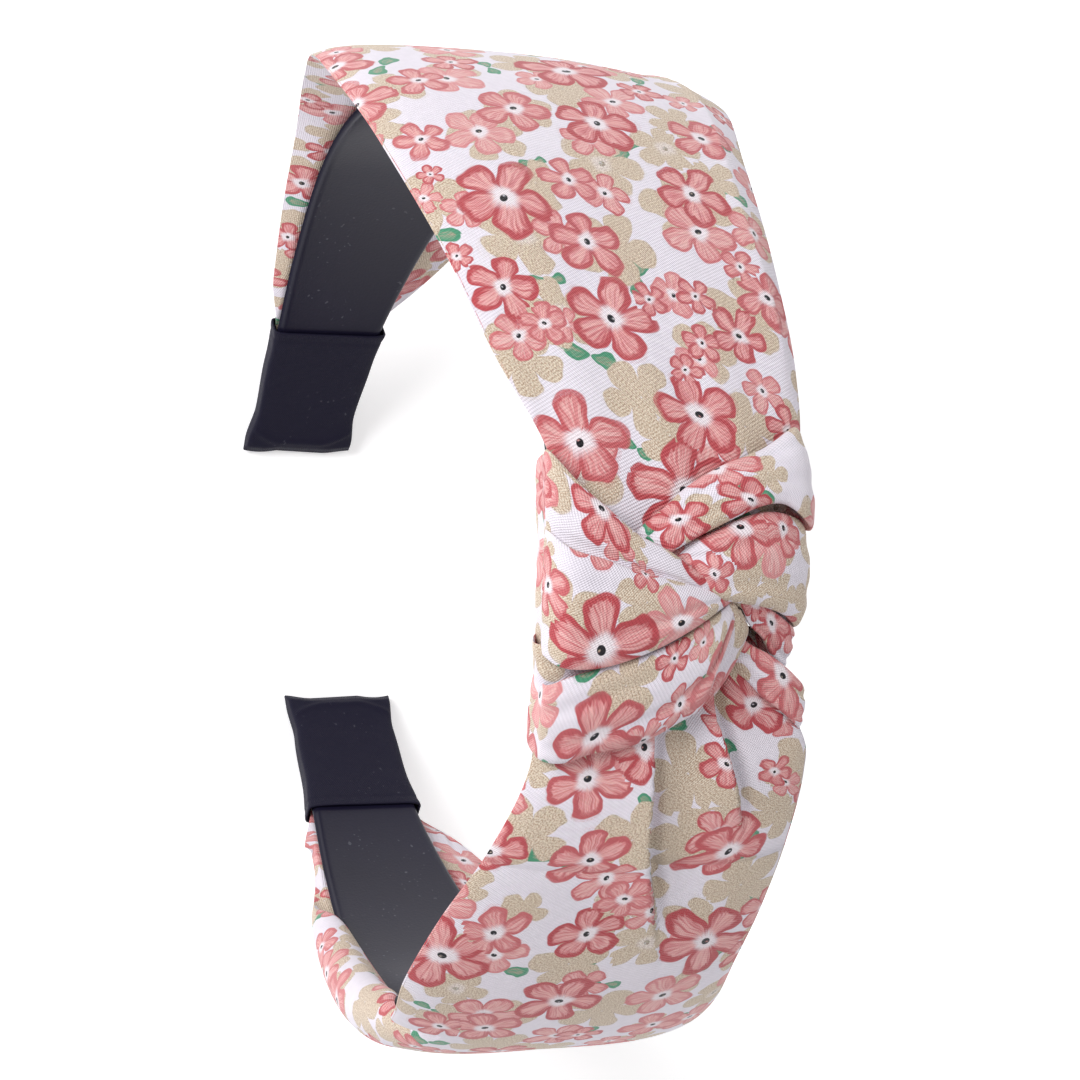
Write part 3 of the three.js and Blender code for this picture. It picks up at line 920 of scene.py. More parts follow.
def make_hoop():
    """Across covers the flat share of the bar and then its round edge, whose height follows a circle.

    The last millimetre before each tip is rounded in the same way.
    """
    along = np.linspace(-TIP_DISTANCE, TIP_DISTANCE, HOOP_RINGS)[:, None]
    edge = HOOP_THICKNESS / 2
    spread = np.linspace(-1, 1, HOOP_COLUMNS // 2)
    spread = np.concatenate([spread, spread[::-1]])
    upper = np.where(np.arange(HOOP_COLUMNS) < HOOP_COLUMNS // 2, 1.0, -1.0)
    into_tip = np.clip((np.abs(along) - TIP_DISTANCE + edge) / edge, 0, 1)
    tip = np.sqrt(np.clip(1 - into_tip**2, THINNEST_TIP, 1))
    into_edge = np.clip((np.abs(spread) - HOOP_FLAT_SHARE) / (1 - HOOP_FLAT_SHARE), 0, 1)
    half = hoop_width(along) / 2 - edge
    across = half * np.clip(spread / HOOP_FLAT_SHARE, -1, 1) + edge * np.sign(spread) * into_edge * tip
    height = edge + edge * upper * np.sqrt(1 - into_edge**2) * tip
    strip = np.stack([np.broadcast_to(along, across.shape), across, height], axis=-1)
    piece, _ = skin("hoop_band", round_hoop(strip), top=HOOP_COLUMNS // 4, caps=("start", "end"))
    settle(piece, PLASTIC, "hoop_plastic", "hoop")


make_hoop()

# %% [markdown]
# ## The tip wraps
#
# A strip of ribbon is folded over each tip and glued shut, over the end of the printed tube. Its
# mouth is a folded hem that stands a little proud, its sides are soft, and its closed end is
# pinched flat. It is one sheet, so it is a ring carried to the tip, closed there, and given a
# ribbon's thickness.

# %% Make the tip wraps
WRAP_START = 166.0
WRAP_END = 191.5
WRAP_RINGS = 90
WRAP_COLUMNS = 96
WRAP_UNDERSIDE = -0.62
WRAP_ROOF_AT_MOUTH = 3.75
WRAP_ROOF_AT_TIP = 2.55
WRAP_MARGIN = 0.5
RIBBON_THICKNESS = 0.3


def bar_ring(columns, squareness):
    """A ring of half-width and half-height shares from -1 to 1: signed powers of cosine and sine."""
    angle = ring_angles(columns)
    cosine, sine = np.cos(angle), np.sin(angle)
    return np.sign(cosine) * np.abs(cosine) ** squareness, np.sign(sine) * np.abs(sine) ** squareness


def wrap_hem(away):
    """How far the sheet stands off near the mouth: the fold is a bump, and behind it lies a dent."""
    fold = 0.06 * np.exp(-((away - WRAP_START - 0.5) / 0.6) ** 2)
    return fold - 0.05 * np.exp(-((away - WRAP_START - 1.7) / 0.4) ** 2)


def wrap_creases(away, across, side):
    """Two crossed sines give broad creases, and a third gives finer ones."""
    broad = 0.06 * np.sin(0.5 * across + 0.9 * away * side) * np.sin(0.21 * away + 0.4 * across)
    return broad + 0.03 * np.sin(1.3 * away + 0.6 * across + side)


def wrap_ridge(away, sides):
    """The round end of the hoop shows as an arched ridge, and beyond it the layers lie together."""
    hoop_end = WRAP_END - 1.9 - 3.0 * sides**2
    ridge = 0.18 * np.exp(-((away - hoop_end) / 0.5) ** 2)
    return ridge - 0.18 * fade(away, hoop_end, hoop_end + 1.2)


def make_wrap(side, name, node_name):
    """Rounded bar rings whose roof drops from the mouth to the tip, and whose last rings close up."""
    share = np.linspace(0, 1, WRAP_RINGS)[:, None]
    away = WRAP_START + (WRAP_END - WRAP_START) * share
    sides, heights = bar_ring(WRAP_COLUMNS, 0.28)
    closing = 1 - fade(away, WRAP_END - 1.6, WRAP_END + 0.25)
    hem = wrap_hem(away)
    floor = WRAP_UNDERSIDE - hem
    roof = WRAP_ROOF_AT_MOUTH + (WRAP_ROOF_AT_TIP - WRAP_ROOF_AT_MOUTH) * share + hem
    half_height = (roof - floor) / 2 * (0.2 + 0.8 * closing)
    loose = 0.25 * fade(away, WRAP_START + 7, WRAP_START) + 0.8 * fade(away, WRAP_END - 8, WRAP_END - 1.5)
    half_width = hoop_width(away) / 2 + WRAP_MARGIN + loose + hem + 0.2 * (1 - closing)
    across = half_width * sides
    crease = wrap_creases(away, across, side) * (1 - np.abs(sides) ** 6)
    height = (floor + roof) / 2 + half_height * heights + np.where(heights > 0, 1, -0.6) * (crease - 0.02)
    height = height + np.sign(heights) * wrap_ridge(away, sides) * (1 - np.abs(sides) ** 8)
    slack = 0.09 * np.sin(0.45 * away + 2 * side) * np.abs(sides) ** 8
    end_wave = 0.35 * np.sin(0.55 * across + side) * fade(away, WRAP_END - 5, WRAP_END)
    strip = np.stack([side * (away + end_wave), across + slack * np.sign(sides), height], axis=-1)
    piece, _ = skin(name, round_hoop(strip), top=WRAP_COLUMNS // 4, caps=("end",))
    thin_cloth(piece, RIBBON_THICKNESS)
    settle(piece, RIBBON, "wrap_ribbon", node_name)


make_wrap(-1, "ribbon_wrap_left", "tip_wrap_left")
make_wrap(1, "ribbon_wrap_right", "tip_wrap_right")

# %% [markdown]
# ## The printed tube
#
# The tube runs from under the knot to each wrap. Its outer layer is crowned, its two long edges are
# soft folds, and its inner layer lies against the hoop and flares out to the folds. Rows along the
# hoop hold the two folds and the crown, and a formula fills in the section between them. A pressure
# simulation could puff it up, but this tube is pulled tight, and its folds and pleats are where the
# maker's fingers left them.

# %% Write the rows of the tube
# Distance from the crown, front fold across and height, back fold across and height, height of the crown.
LEFT_ROWS = (
    (-6, -9, 5.0, 15, 5.0, 7.2), (8, -14.2, 4.4, 21.3, 4.4, 7.6), (11, -15.4, 4.2, 22, 4.2, 7.4),
    (20, -20, 4.0, 22.8, 4.0, 6.9), (34, -24.4, 4.0, 23.2, 4.0, 7.1), (55, -28.9, 4.0, 25.6, 3.9, 7.5),
    (76, -29.4, 4.3, 31.4, 3.6, 7.9), (88, -28.0, 5.6, 33, 3.4, 8.1), (104, -23.5, 4.9, 31, 3.4, 7.9),
    (124, -17.8, 4.8, 26.2, 3.4, 7.5), (142, -14.4, 4.4, 20.4, 3.4, 6.9), (152, -12.6, 4.0, 17.6, 3.3, 6.1),
    (159, -11.4, 3.4, 13.6, 3.0, 4.9), (165, -9.5, 2.9, 9.6, 2.8, 3.3), (171, -8.2, 2.7, 8.2, 2.7, 3.1),
)
RIGHT_ROWS = (
    (13, -13, 3.4, 19, 4.4, 5.6), (22, -14.2, 3.0, 22.6, 4.2, 5.9), (27, -14.4, 3.0, 24.6, 4.2, 6.6),
    (31, -14.9, 3.3, 25, 4.1, 6.9),
    (42, -18.6, 4.0, 25, 4.0, 7.3), (53, -22.8, 4.0, 24.8, 4.0, 7.6), (66, -24.4, 4.0, 25.4, 4.0, 7.8),
    (78, -22.4, 4.0, 28, 3.9, 8.0), (91, -20.8, 3.2, 31, 3.8, 8.1), (104, -22.0, 2.7, 30.6, 3.6, 7.9),
    (117, -22.4, 2.5, 28.8, 3.4, 7.5), (133, -19.6, 2.7, 26.4, 3.4, 7.1), (145, -14.6, 3.6, 23.2, 3.4, 6.7),
    (154, -12.4, 3.9, 19.6, 3.3, 5.9), (161, -11.2, 3.3, 15, 3.0, 4.6), (166, -9.4, 2.9, 9.8, 2.8, 3.3),
    (171, -8.2, 2.7, 8.2, 2.7, 3.1),
)
print("rows of the left arm and the right:", len(LEFT_ROWS), "and", len(RIGHT_ROWS))

# %% [markdown]
# ## Gathers, pulls and pleats
#
# Satin that is pulled tight still wrinkles where it is held. It gathers into each wrap, pulls
# towards the knot, and tucks away in two pleats below it. Each wrinkle is a height to add to the
# outer layer, so they can simply be added up. A pleat also hides some cloth, and the print breaks
# at its line.

# %% Wrinkle the tube
# The line of each pleat: distance from the crown, and across. What it tucks away is in mm.
FIRST_PLEAT = ((14, 9.4), (21.4, 8.6), (26.5, 10.9), (32, 13.6), (40, 17))
SECOND_PLEAT = ((22, 0.2), (30, 1.0), (43, 3.3), (50, 6.0), (60, 10))
FIRST_TUCKED = 5.0
SECOND_TUCKED = 7.0


def gathers(away, across):
    """Ripples that run lengthwise into a wrap: two sines across the tube, growing towards the wrap."""
    ripple = 0.34 * np.sin(across * 1.75 + 0.4) + 0.24 * np.sin(across * 3.1 + away * 0.12)
    return ripple * fade(away, 144, 161) * (1 - 0.9 * fade(away, 162.5, 167))


def left_relief(away, across):
    """The ridge where the tube turns down to its back fold, and soft pulls towards the knot."""
    ridge = smooth_rows(((0, 21), (25, 20.6), (44, 19.8), (75, 25), (100, 25.5)), away)[..., 0]
    kink = 0.75 * np.exp(-np.abs(across - ridge) / 2.2) * fade(away, 12, 26) * fade(away, 112, 84)
    pulls = 0.22 * np.sin(across * 0.62 + away * 0.10) * fade(away, 46, 8)
    sag = 0.22 * np.sin(away * 0.085 + 1.0) * np.sin(across * 0.16 + 0.6)
    return kink + pulls + sag


def pleat_cloth(away, across):
    """The cloth tucked away in the two pleats below the knot, in mm, which fades out as each pleat does."""
    first = smooth_rows(FIRST_PLEAT, away)[..., 0]
    second = smooth_rows(SECOND_PLEAT, away)[..., 0]
    tucked = FIRST_TUCKED * fade(across, first - 0.1, first + 0.3) * fade(away, 40, 30)
    return tucked + SECOND_TUCKED * fade(across, second - 0.1, second + 0.3) * fade(away, 62, 46)


def no_pleats(away, across):
    """The left arm tucks nothing away."""
    return np.zeros_like(across)


def right_relief(away, across):
    """Two pleats fan out below the knot: each steps down at its line and rises again slowly before it."""
    first = smooth_rows(FIRST_PLEAT, away)[..., 0]
    second = smooth_rows(SECOND_PLEAT, away)[..., 0]
    step = 2.2 * fade(across, first + 0.2, first - 0.2) * np.exp(-np.abs(across - first) / 3.6)
    step = (step - 1.3 * np.exp(-(((across - first - 1.1) / 1.0) ** 2))) * fade(away, 40, 30)
    tuck = 2.1 * fade(across, second + 0.2, second - 0.2) * np.exp(-np.abs(across - second) / 5.0)
    tuck = tuck - 1.0 * np.exp(-(((across - second - 1.0) / 0.9) ** 2))
    tuck = tuck * fade(away, 56, 44) * fade(away, 19, 24)
    hollow = -1.0 * np.exp(-((across - second - 4.2) / 3.4) ** 2) * fade(away, 58, 40)
    sag = 0.22 * np.sin(away * 0.09 + 2.4) * np.sin(across * 0.15 + 0.2)
    return step + tuck + hollow + sag


print("the pleats tuck away", FIRST_TUCKED, "and", SECOND_TUCKED, "mm of cloth")

# %% [markdown]
# ## The roll behind the ear
#
# On the right arm the cloth is wider than the hoop, and its front fold has rolled under the hoop's
# edge. Rolling is a change of place: how far a point reaches past the edge becomes an angle about
# it, and its height becomes the radius. A bend modifier could do it, but it would bend the rest.

# %% Roll the front fold
CURL_RADIUS = 1.9


def curl_front(across, height, edge, amount):
    """Rolls what reaches past a front edge round it: the distance past it becomes a turn about it."""
    past = np.clip(-edge - across, 0, None)
    turn = np.minimum(past * amount / CURL_RADIUS, np.pi)
    rest = past - np.where(amount > 0, turn * CURL_RADIUS / np.maximum(amount, 1e-6), past)
    lift = height - HOOP_THICKNESS / 2
    rolled_across = -edge - lift * np.sin(turn) - rest * np.cos(turn)
    rolled_height = HOOP_THICKNESS / 2 + lift * np.cos(turn) - rest * np.sin(turn)
    share = np.where((past > 0) & (amount > 0), 1.0, 0.0)
    return across + share * (rolled_across - across), height + share * (rolled_height - height)


def no_curl(away):
    """The left arm's front fold stays flat."""
    return np.zeros_like(away)


def ear_curl(away):
    """The right arm's front fold rolls under the hoop behind the ear."""
    return fade(away, 80, 100) * fade(away, 160, 132)


print("the roll at 90, 116 and 150 mm:", ear_curl(np.array([90, 116, 150])).round(2).tolist())

# %% [markdown]
# ## Both arms of the tube
#
# The two arms are made by one function, which takes each arm's rows, wrinkles and roll. The share
# round the tube runs from the front fold over the outer layer to the back fold, and returns along
# the inner layer, with its points closer together at the folds, where the surface turns fastest.

# %% Make both arms of the tube
TUBE_RINGS = 250
OUTER_COLUMNS = 132
INNER_COLUMNS = 62
TUBE_TOP = OUTER_COLUMNS // 2
INNER_LAYER = HOOP_THICKNESS + 0.34
SATIN_THICKNESS = 0.28


def eased(count):
    """Shares from 0 to 1 that lie closer together near both ends."""
    return (1 - np.cos(np.linspace(0, np.pi, count))) / 2


def flare(reach, fold, half):
    """0 over the hoop and 1 at the fold, where the inner layer meets the outer one."""
    return np.clip((reach - half) / np.maximum(fold - half, 0.8), 0, 1) ** 1.25


ARMS = {
    "tube_left": {
        "node": "cover_left", "side": -1, "cut": (0.100, 0.178), "late_start": 0.0,
        "rows": LEFT_ROWS, "relief": left_relief, "curl": no_curl, "pleated": no_pleats,
    },
    "tube_right": {
        "node": "cover_right", "side": 1, "cut": (0.096, 0.158), "late_start": 4.0,
        "rows": RIGHT_ROWS, "relief": right_relief, "curl": ear_curl, "pleated": pleat_cloth,
    },
}


def make_tube(name, arm, placed):
    """Section: outer height = the line between the folds plus the crown times (1 - |2q - 1| ^ 3) ^ 0.7."""
    first, last = arm["rows"][0][0], arm["rows"][-1][0]
    away = np.linspace(first, last, TUBE_RINGS)[:, None]
    front, front_up, back, back_up, crown = np.moveaxis(smooth_rows(arm["rows"], away), -1, 0)
    share = np.concatenate([eased(OUTER_COLUMNS), eased(INNER_COLUMNS)[1:-1][::-1]])
    is_outer = np.arange(len(share)) < OUTER_COLUMNS
    late = fade(share, 0.5, 0.85) * fade(away, first + 22, first)
    along = away + late * arm["late_start"]
    across = front + (back - front) * share
    line = front_up + (back_up - front_up) * share
    rise = crown - (front_up + back_up) / 2
    bow = (1 - np.abs(2 * share - 1) ** 3) ** 0.7
    fold_room = fade(share, 0, 0.06) * fade(share, 1, 0.94)
    ripples = gathers(along, across)
    outer = line + rise * bow + (arm["relief"](along, across) + ripples) * fold_room
    half = hoop_width(away) / 2
    to_front, to_back = flare(-across, -front, half), flare(across, back, half)
    inner = INNER_LAYER + (front_up - INNER_LAYER) * to_front + (back_up - INNER_LAYER) * to_back
    inner = inner + 0.9 * ripples * (to_front + to_back) * fold_room
    height = np.where(is_outer, np.maximum(outer, INNER_LAYER + 0.5), inner)
    height = np.where((share == 0) | (share == 1), line, height)
    across, height = curl_front(across, height, half + 0.2, arm["curl"](away))
    strip = np.stack([arm["side"] * along, across, height], axis=-1)
    rings = round_hoop(strip)
    hidden = arm["pleated"](along, across) * is_outer
    piece, flat = skin(name, rings, top=TUBE_TOP, hidden=hidden)
    seen = strip[:, :OUTER_COLUMNS]
    flat_rows = cloth_lengths(rings, TUBE_TOP, hidden)[:, :OUTER_COLUMNS]
    print_cloth(piece, flat, on_cloth(placed, seen[..., 0], seen[..., 1], flat_rows))
    thin_cloth(piece, SATIN_THICKNESS)
    settle(piece, SATIN, "printed_fabric", arm["node"])


for arm_name, arm in ARMS.items():
    make_tube(arm_name, arm, FLOWERS[arm_name])

# %% [markdown]
# ## The knot
#
# The knot is a wide flat band wrapped over itself, so what shows is a set of strands that run to
# one eye. Each strand is a folded band with two edges. Rows hold both edges as places on the strip,
# and the section between them is a thin pillow whose top swells more than its underside. Sculpting
# would work, but edges in rows keep the crossing order clear: a strand that lies on top simply has
# higher edges.

# %% Write the edges of the strands
# Rows of (along, across, height) of one edge and then of the other, from the front of the knot or from
# its eye. Top and under are the swell, and the cut is a width, a length and an area, in metres.
STRANDS = {
    "front_upper": {
        "node": "knot_front_upper", "top": 1.7, "under": 0.5, "ripple": 0.22,
        "cut": (0.0118, 0.0418, 0.00032),
        "rows": (
            (-8.0, -11.5, -1.6, 2.0, -11.5, -1.6), (-8.6, -13.9, -0.4, 2.4, -14.0, -0.6),
            (-9.0, -14.6, 3.2, 2.6, -14.5, 2.8), (-8.6, -15.4, 6.6, 2.7, -15.6, 5.8),
            (-4.5, -12.7, 9.4, 4.2, -13.6, 8.1), (-1.3, -9.0, 10.7, 5.5, -9.2, 9.4),
            (1.2, -5.7, 11.3, 6.7, -4.4, 10.0), (3.3, -0.9, 11.6, 7.7, 1.2, 10.3),
            (5.8, 3.6, 11.3, 8.6, 5.3, 10.0), (7.6, 7.6, 10.2, 8.8, 8.0, 9.2),
        ),
    },
    "back_upper": {
        "node": "knot_back_upper", "top": 1.7, "under": 0.5, "ripple": 0.16,
        "cut": (0.0118, 0.0442, 0.00035),
        "rows": (
            (2.6, -5.4, 7.2, 4.4, -1.5, 8.6), (0.8, -4.3, 8.4, 3.4, -0.8, 10.6),
            (-1.8, -0.9, 9.2, 1.3, 3.3, 11.5), (-4.3, 2.6, 9.3, -1.0, 9.1, 11.6),
            (-6.5, 7.2, 9.3, -2.0, 12.2, 11.4), (-8.8, 13.8, 8.6, -2.2, 15.8, 10.9),
            (-11.9, 19.4, 7.0, -0.7, 19.0, 9.8), (-12.4, 20.9, 3.8, 0.5, 21.5, 6.6),
            (-11.0, 18.2, 0.8, -0.4, 19.2, 2.2), (-8.0, 14.4, -1.0, -1.0, 14.4, -1.0),
            (-6.0, 11.0, -1.5, 0.0, 11.0, -1.5),
        ),
    },
    "back_middle": {
        "node": "knot_back_middle", "top": 2.3, "under": 0.5, "ripple": 0.22,
        "cut": (0.0145, 0.0393, 0.00041),
        "rows": (
            (4.6, -1.6, 8.2, 5.4, -0.6, 8.2), (2.4, 1.6, 9.6, 6.4, 2.8, 9.8),
            (1.0, 5.1, 10.3, 8.2, 5.6, 10.4), (-0.6, 9.3, 10.4, 8.9, 9.2, 10.2),
            (-1.4, 12.9, 10.0, 9.4, 13.1, 9.4), (-1.3, 16.8, 8.6, 10.6, 17.3, 7.8),
            (-0.6, 19.8, 6.2, 12.2, 20.0, 5.6), (-0.2, 20.4, 3.2, 12.6, 20.2, 3.0),
            (0.4, 17.8, 0.4, 12.2, 17.8, 0.4), (1.0, 14.2, -1.2, 11.8, 14.2, -1.2),
            (1.5, 11.0, -1.7, 11.5, 11.0, -1.7),
        ),
    },
    "back_twist": {
        "node": "knot_back_twist", "top": 1.1, "under": 0.5, "ripple": 0.30,
        "cut": (0.0100, 0.0231, 0.000085),
        "rows": (
            (7.6, 6.6, 9.4, 8.6, 7.4, 8.8), (7.9, 9.0, 9.6, 9.4, 10.2, 8.6),
            (8.6, 12.3, 9.0, 11.6, 12.4, 7.0), (9.9, 15.2, 8.2, 13.6, 15.2, 5.8),
            (11.2, 17.8, 7.0, 16.0, 17.2, 4.6), (12.4, 19.8, 5.2, 18.0, 19.6, 3.4),
            (12.8, 19.0, 2.4, 18.4, 18.8, 1.4), (13.0, 16.8, 0.2, 17.0, 16.8, 0.0),
            (12.6, 14.0, -1.2, 16.6, 14.0, -1.2),
        ),
    },
    "front_middle": {
        "node": "knot_front_middle", "top": 1.5, "under": 0.6, "ripple": 0.16,
        "cut": (0.0158, 0.0421, 0.00047),
        "rows": (
            (2.2, -11.5, -1.8, 13.8, -11.5, -1.8), (1.2, -14.0, -0.6, 15.0, -14.0, -0.6),
            (0.8, -14.7, 3.4, 15.4, -14.5, 2.8), (0.8, -16.2, 7.2, 15.4, -15.9, 6.4),
            (2.7, -14.7, 10.4, 16.2, -14.6, 9.3), (4.0, -10.3, 11.6, 16.1, -9.9, 10.3),
            (5.3, -5.5, 12.0, 14.1, -3.1, 11.1), (6.5, 0.4, 11.8, 10.9, 3.9, 11.1),
            (7.3, 4.5, 11.3, 9.5, 6.6, 10.6), (7.8, 7.8, 10.2, 8.9, 8.6, 9.4),
        ),
    },
    "front_lower": {
        "node": "knot_front_lower", "top": 1.5, "under": 0.5, "ripple": 0.20,
        "cut": (0.0120, 0.0444, 0.00043),
        "rows": (
            (18.6, -11.5, -1.6, 26.6, -11.5, -1.6), (18.8, -13.9, -0.6, 28.2, -13.8, -0.6),
            (18.9, -14.6, 3.0, 29.0, -14.2, 2.4), (18.8, -15.2, 6.6, 29.0, -13.8, 4.8),
            (17.3, -12.6, 8.6, 28.6, -12.0, 6.4), (15.7, -7.6, 9.8, 27.2, -9.1, 7.4),
            (14.3, -2.8, 10.5, 25.5, -2.1, 8.1), (12.5, 1.5, 10.7, 23.2, 2.5, 8.4),
            (10.9, 4.2, 10.7, 20.8, 6.0, 8.5), (10.1, 5.8, 10.5, 17.2, 6.9, 9.0),
            (9.4, 7.2, 10.2, 13.2, 8.4, 9.4), (8.6, 8.9, 9.4, 9.6, 9.9, 8.8),
        ),
    },
    "front_turn": {
        "node": "knot_front_lower", "top": 0.8, "under": 0.5, "ripple": 0.20,
        "cut": (0.0100, 0.0161, 0.000073),
        "rows": (
            (8.8, 8.6, 9.8, 10.8, 11.6, 7.6), (10.9, 8.9, 9.8, 12.4, 12.4, 7.0),
            (13.3, 8.3, 9.4, 14.3, 12.0, 6.6), (15.4, 7.4, 9.0, 16.2, 11.4, 6.2),
            (17.3, 6.4, 8.6, 17.9, 10.7, 5.8), (20.4, 5.6, 7.8, 21.1, 8.6, 5.6),
            (22.3, 5.0, 6.6, 23.3, 7.0, 5.0),
        ),
    },
    "front_tuck": {
        "node": "knot_front_middle", "top": 0.6, "under": 0.6, "ripple": 0.12,
        "cut": (0.0100, 0.0284, 0.000174),
        "rows": (
            (13.4, -11.0, -1.2, 20.2, -11.0, -1.2), (13.6, -14.0, -0.4, 20.4, -13.8, -0.2),
            (14.0, -16.0, 2.6, 20.6, -14.8, 2.4), (14.2, -16.4, 4.5, 20.6, -15.0, 4.6),
            (14.4, -14.6, 6.0, 20.4, -13.2, 6.0), (14.2, -10.0, 7.2, 19.6, -8.8, 7.0),
            (13.6, -5.0, 8.0, 18.0, -4.0, 8.0), (12.6, -1.0, 8.4, 15.6, 0.4, 8.4),
        ),
    },
    "back_lower": {
        "node": "knot_back_lower", "top": 1.2, "under": 0.5, "ripple": 0.22,
        "cut": (0.0100, 0.0246, 0.00013),
        "rows": (
            (12.4, 9.6, 5.6, 16.9, 9.4, 4.0), (13.0, 11.3, 6.2, 17.6, 11.4, 4.8),
            (14.1, 13.0, 6.6, 18.5, 13.1, 5.4), (15.4, 16.0, 6.8, 20.7, 15.7, 5.9),
            (17.9, 20.0, 6.2, 23.0, 19.4, 6.0), (19.6, 22.0, 4.6, 25.4, 22.6, 4.8),
            (19.4, 20.4, 2.0, 25.2, 21.4, 2.2), (18.6, 17.4, 0.0, 24.0, 18.0, 0.2),
            (17.6, 14.0, -1.2, 22.0, 14.2, -1.2),
        ),
    },
}
print("strands of the knot:", ", ".join(STRANDS))

# %% [markdown]
# ## Making the strands
#
# A strand needs a way out at every ring, so that its swell never turns inwards. It is the cross
# product of the way ahead and the way over to the other edge, turned to point away from the knot's
# core. Towards its ends a strand flattens, because there it lies tucked under its neighbour.

# %% Make the strands
KNOT_CORE = np.array([8.0, 2.0, 1.0])
STRAND_RINGS = 110
STRAND_COLUMNS = 72
STRAND_CROWD = 0.3


def strand_frame(rows):
    """Along the band: how far each ring is, its middle, half its width, and the way out from the core."""
    middles = (rows[:, :3] + rows[:, 3:]) / 2
    stations = np.concatenate([[0], np.cumsum(np.linalg.norm(np.diff(middles, axis=0), axis=1))])
    at = np.linspace(0, stations[-1], STRAND_RINGS)
    edges = smooth_rows(np.column_stack([stations, rows]), at)
    left, right = edges[:, :3], edges[:, 3:]
    half = (right - left) / 2
    middle = (left + right) / 2
    ahead = unit(np.gradient(middle, at, axis=0))
    outward = unit(np.cross(ahead, unit(half)))
    signs = np.sign(np.sum(outward * (middle - KNOT_CORE), axis=1, keepdims=True))
    return at, middle, half, outward * np.where(signs == 0, 1, signs)


def strand_ripple(at, cosine, ripple):
    """Folds that run along the band: a sine across it, and half as much of a finer one."""
    broad = ripple * np.sin(cosine * 7.5 + at[:, None] * 0.11) * (1 - cosine**2)
    return broad + 0.5 * ripple * np.sin(cosine * 13 + at[:, None] * 0.23 + 1) * (1 - cosine**2)


def make_strand(name, facts, placed):
    """Section: half-width times cosine, and the top or underside swell times a power of sine."""
    at, middle, half, outward = strand_frame(np.array(facts["rows"], float))
    angle = ring_angles(STRAND_COLUMNS)
    cosine, sine = np.cos(angle), np.sin(angle)
    width = np.linalg.norm(half, axis=1, keepdims=True)
    facing = np.clip(outward[:, 2:], 0, 1)
    taper = np.clip(width / 3.5, 0.25, 1) * (0.3 + 0.7 * facing)
    ends = np.minimum(fade(at, -1.5, 2), fade(at, at[-1] + 1.5, at[-1] - 2))[:, None]
    ripple = strand_ripple(at, cosine, facts["ripple"])
    swell = np.where(sine > 0, facts["top"] * np.abs(sine) ** 0.8, -facts["under"] * np.abs(sine) ** 0.6)
    lift = swell * taper * ends + np.where(sine > 0, ripple * taper, 0)
    strip = middle[:, None] + half[:, None] * cosine[:, None] + outward[:, None] * lift[..., None]
    rings = round_hoop(strip)
    top = STRAND_COLUMNS // 4
    piece, flat = skin(f"strand_{name}", rings, top=top, caps=("start", "end"))
    print(name, "is", round(flat[..., 0].max(), 1), "mm long")
    seen = strip[:, :STRAND_COLUMNS // 2]
    flat_rows = cloth_lengths(rings, top)[:, :STRAND_COLUMNS // 2]
    print_cloth(piece, flat, on_cloth(placed, seen[..., 0], seen[..., 1], flat_rows), STRAND_CROWD)
    settle(piece, SATIN, "printed_fabric", facts["node"])
    width, length, area = facts["cut"]


for strand, facts in STRANDS.items():
    make_strand(strand, facts, FLOWERS.get(strand, {}))

# %% [markdown]
# ## Under the hoop
#
# The band that ties the knot passes once under the hoop, where it presses on the hair. It is a flat
# soft strap.

# %% Make the strap under the hoop
STRAP_FROM = -13.0
STRAP_TO = 15.6
STRAP_RINGS = 90
STRAP_MIDDLE = 8.0
STRAP_HEIGHT = -1.35


def make_under_pass():
    """A pillow section carried across the hoop, from its front edge to its back edge."""
    across = np.linspace(STRAP_FROM, STRAP_TO, STRAP_RINGS)[:, None]
    angle = ring_angles(STRAND_COLUMNS)
    reach = 9.6 - 0.5 * np.cos(across * 0.12)
    along = STRAP_MIDDLE + reach * np.cos(angle)
    bulk = 0.62 + 0.12 * np.sin(along * 1.1 + across * 0.2)
    lift = 0.3 * fade(np.abs(across - (STRAP_FROM + STRAP_TO) / 2), 11.5, 15.0)
    height = STRAP_HEIGHT + bulk * np.sign(np.sin(angle)) * np.abs(np.sin(angle)) ** 0.6 + lift
    strip = np.stack([along, np.broadcast_to(across, along.shape), height], axis=-1)
    underside = STRAND_COLUMNS * 3 // 4
    piece, flat = skin("strap_under_hoop", round_hoop(strip), top=underside, caps=("start", "end"))
    print_cloth(piece, flat, {})
    settle(piece, SATIN, "printed_fabric", "knot_under_pass")


make_under_pass()

# %% [markdown]
# ## Floor
#
# The headband stands on its two tips on pale paper. The paper glows a little, so that it runs into
# the sky without a line, and still takes a soft shadow under each tip.

# %% Set the floor
FLOOR_REACH = 4.0
WHITE = (1.0, 1.0, 1.0, 1.0)


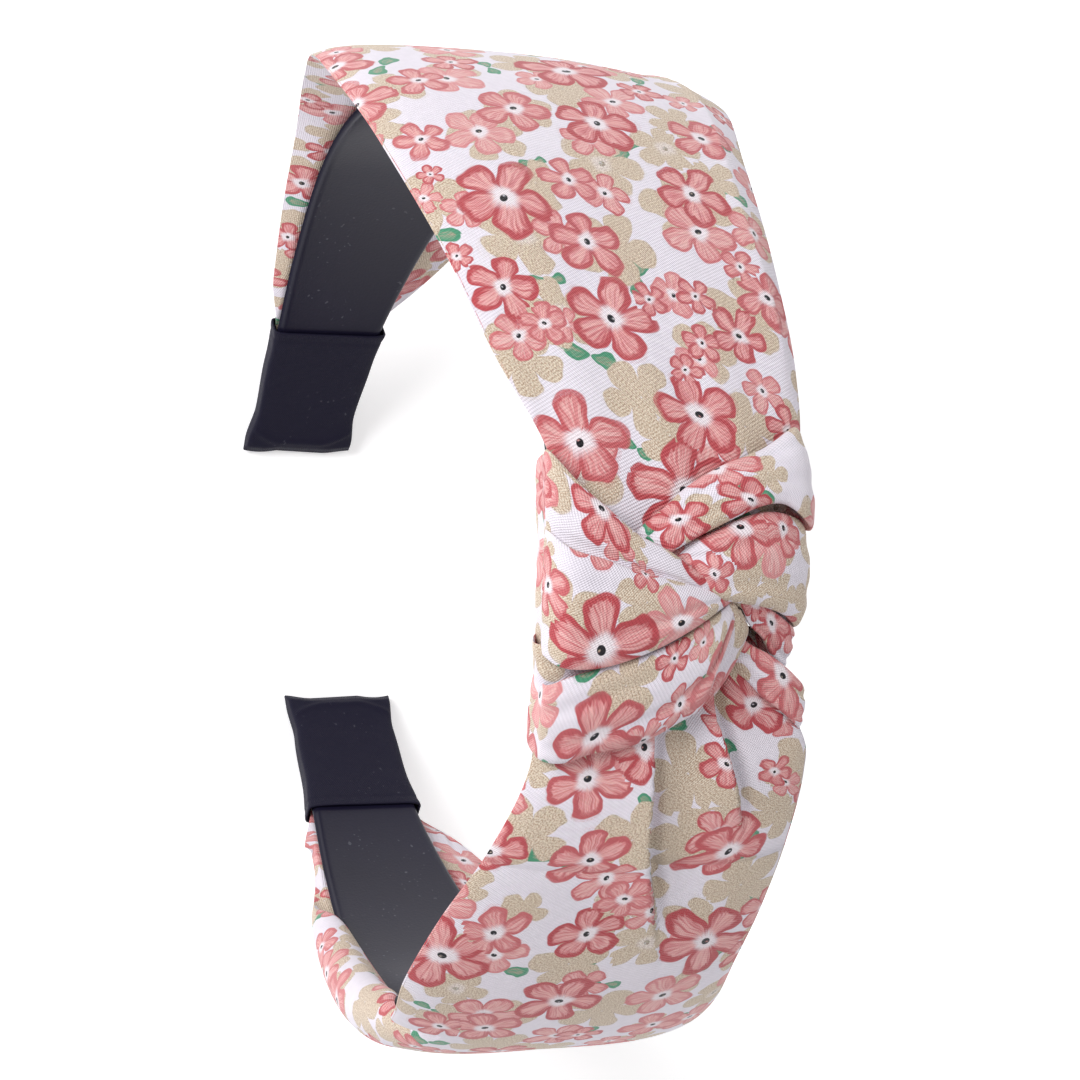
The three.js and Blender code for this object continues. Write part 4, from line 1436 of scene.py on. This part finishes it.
def make_floor():
    """One large square of glowing paper."""
    corners = [(FLOOR_REACH * x, FLOOR_REACH * y, 0) for x, y in ((-1, -1), (1, -1), (1, 1), (-1, 1))]
    mesh = bpy.data.meshes.new("pale_floor")
    mesh.from_pydata(corners, [], [(0, 1, 2, 3)])
    floor = bpy.data.objects.new("pale_floor", mesh)
    bpy.context.scene.collection.objects.link(floor)
    material, tree, shader = finish("pale paper")
    place = node(tree, "ShaderNodeTexCoord", {}).outputs["Object"]
    colour = mix(tree, noise(tree, place, 3.0), paint(250, 250, 251), paint(252, 252, 253))
    wire(tree, shader["Base Color"], colour)
    shader["Roughness"].default_value = 0.9
    shader["Emission Color"].default_value = WHITE
    shader["Emission Strength"].default_value = 0.35
    mesh.materials.append(material)


make_floor()
print("the floor reaches", FLOOR_REACH, "metres each way")

# %% [markdown]
# ## Light
#
# A bright even sky and two large soft lamps give the light inside a small tent of white cloth. The
# front lamp is the stronger one and rounds the knot; the back one keeps the far side open.

# %% Set the lamps and the sky
LAMPS_AIM = Vector((0, 0, 0.09))


def make_lamp(name, place, watts, size):
    """A square soft lamp that looks at the middle of the headband."""
    data = bpy.data.lights.new(name, "AREA")
    data.energy = watts
    data.size = size
    lamp = bpy.data.objects.new(name, data)
    lamp.location = place
    lamp.rotation_euler = (LAMPS_AIM - Vector(place)).to_track_quat("-Z", "Y").to_euler()
    bpy.context.scene.collection.objects.link(lamp)
    print(name, "gives", watts, "watts over", size, "metres")


def make_sky(strength):
    """An even sky that lights with the strength given, and shows as plain white behind the floor."""
    world = bpy.data.worlds.new("tent")
    world.use_nodes = True
    tree = world.node_tree
    seen = node(tree, "ShaderNodeLightPath", {}).outputs["Is Camera Ray"]
    sky = tree.nodes["Background"].inputs
    sky["Color"].default_value = WHITE
    wire(tree, sky["Strength"], calc(tree, "MULTIPLY_ADD", seen, 1.0 - strength, strength))
    bpy.context.scene.world = world


make_lamp("key_lamp", (-0.35, -0.75, 0.7), 8.0, 0.5)
make_lamp("back_lamp", (0.3, 0.7, 0.8), 1.6, 0.8)
make_sky(0.5)
bpy.context.scene.view_settings.view_transform = "Standard"
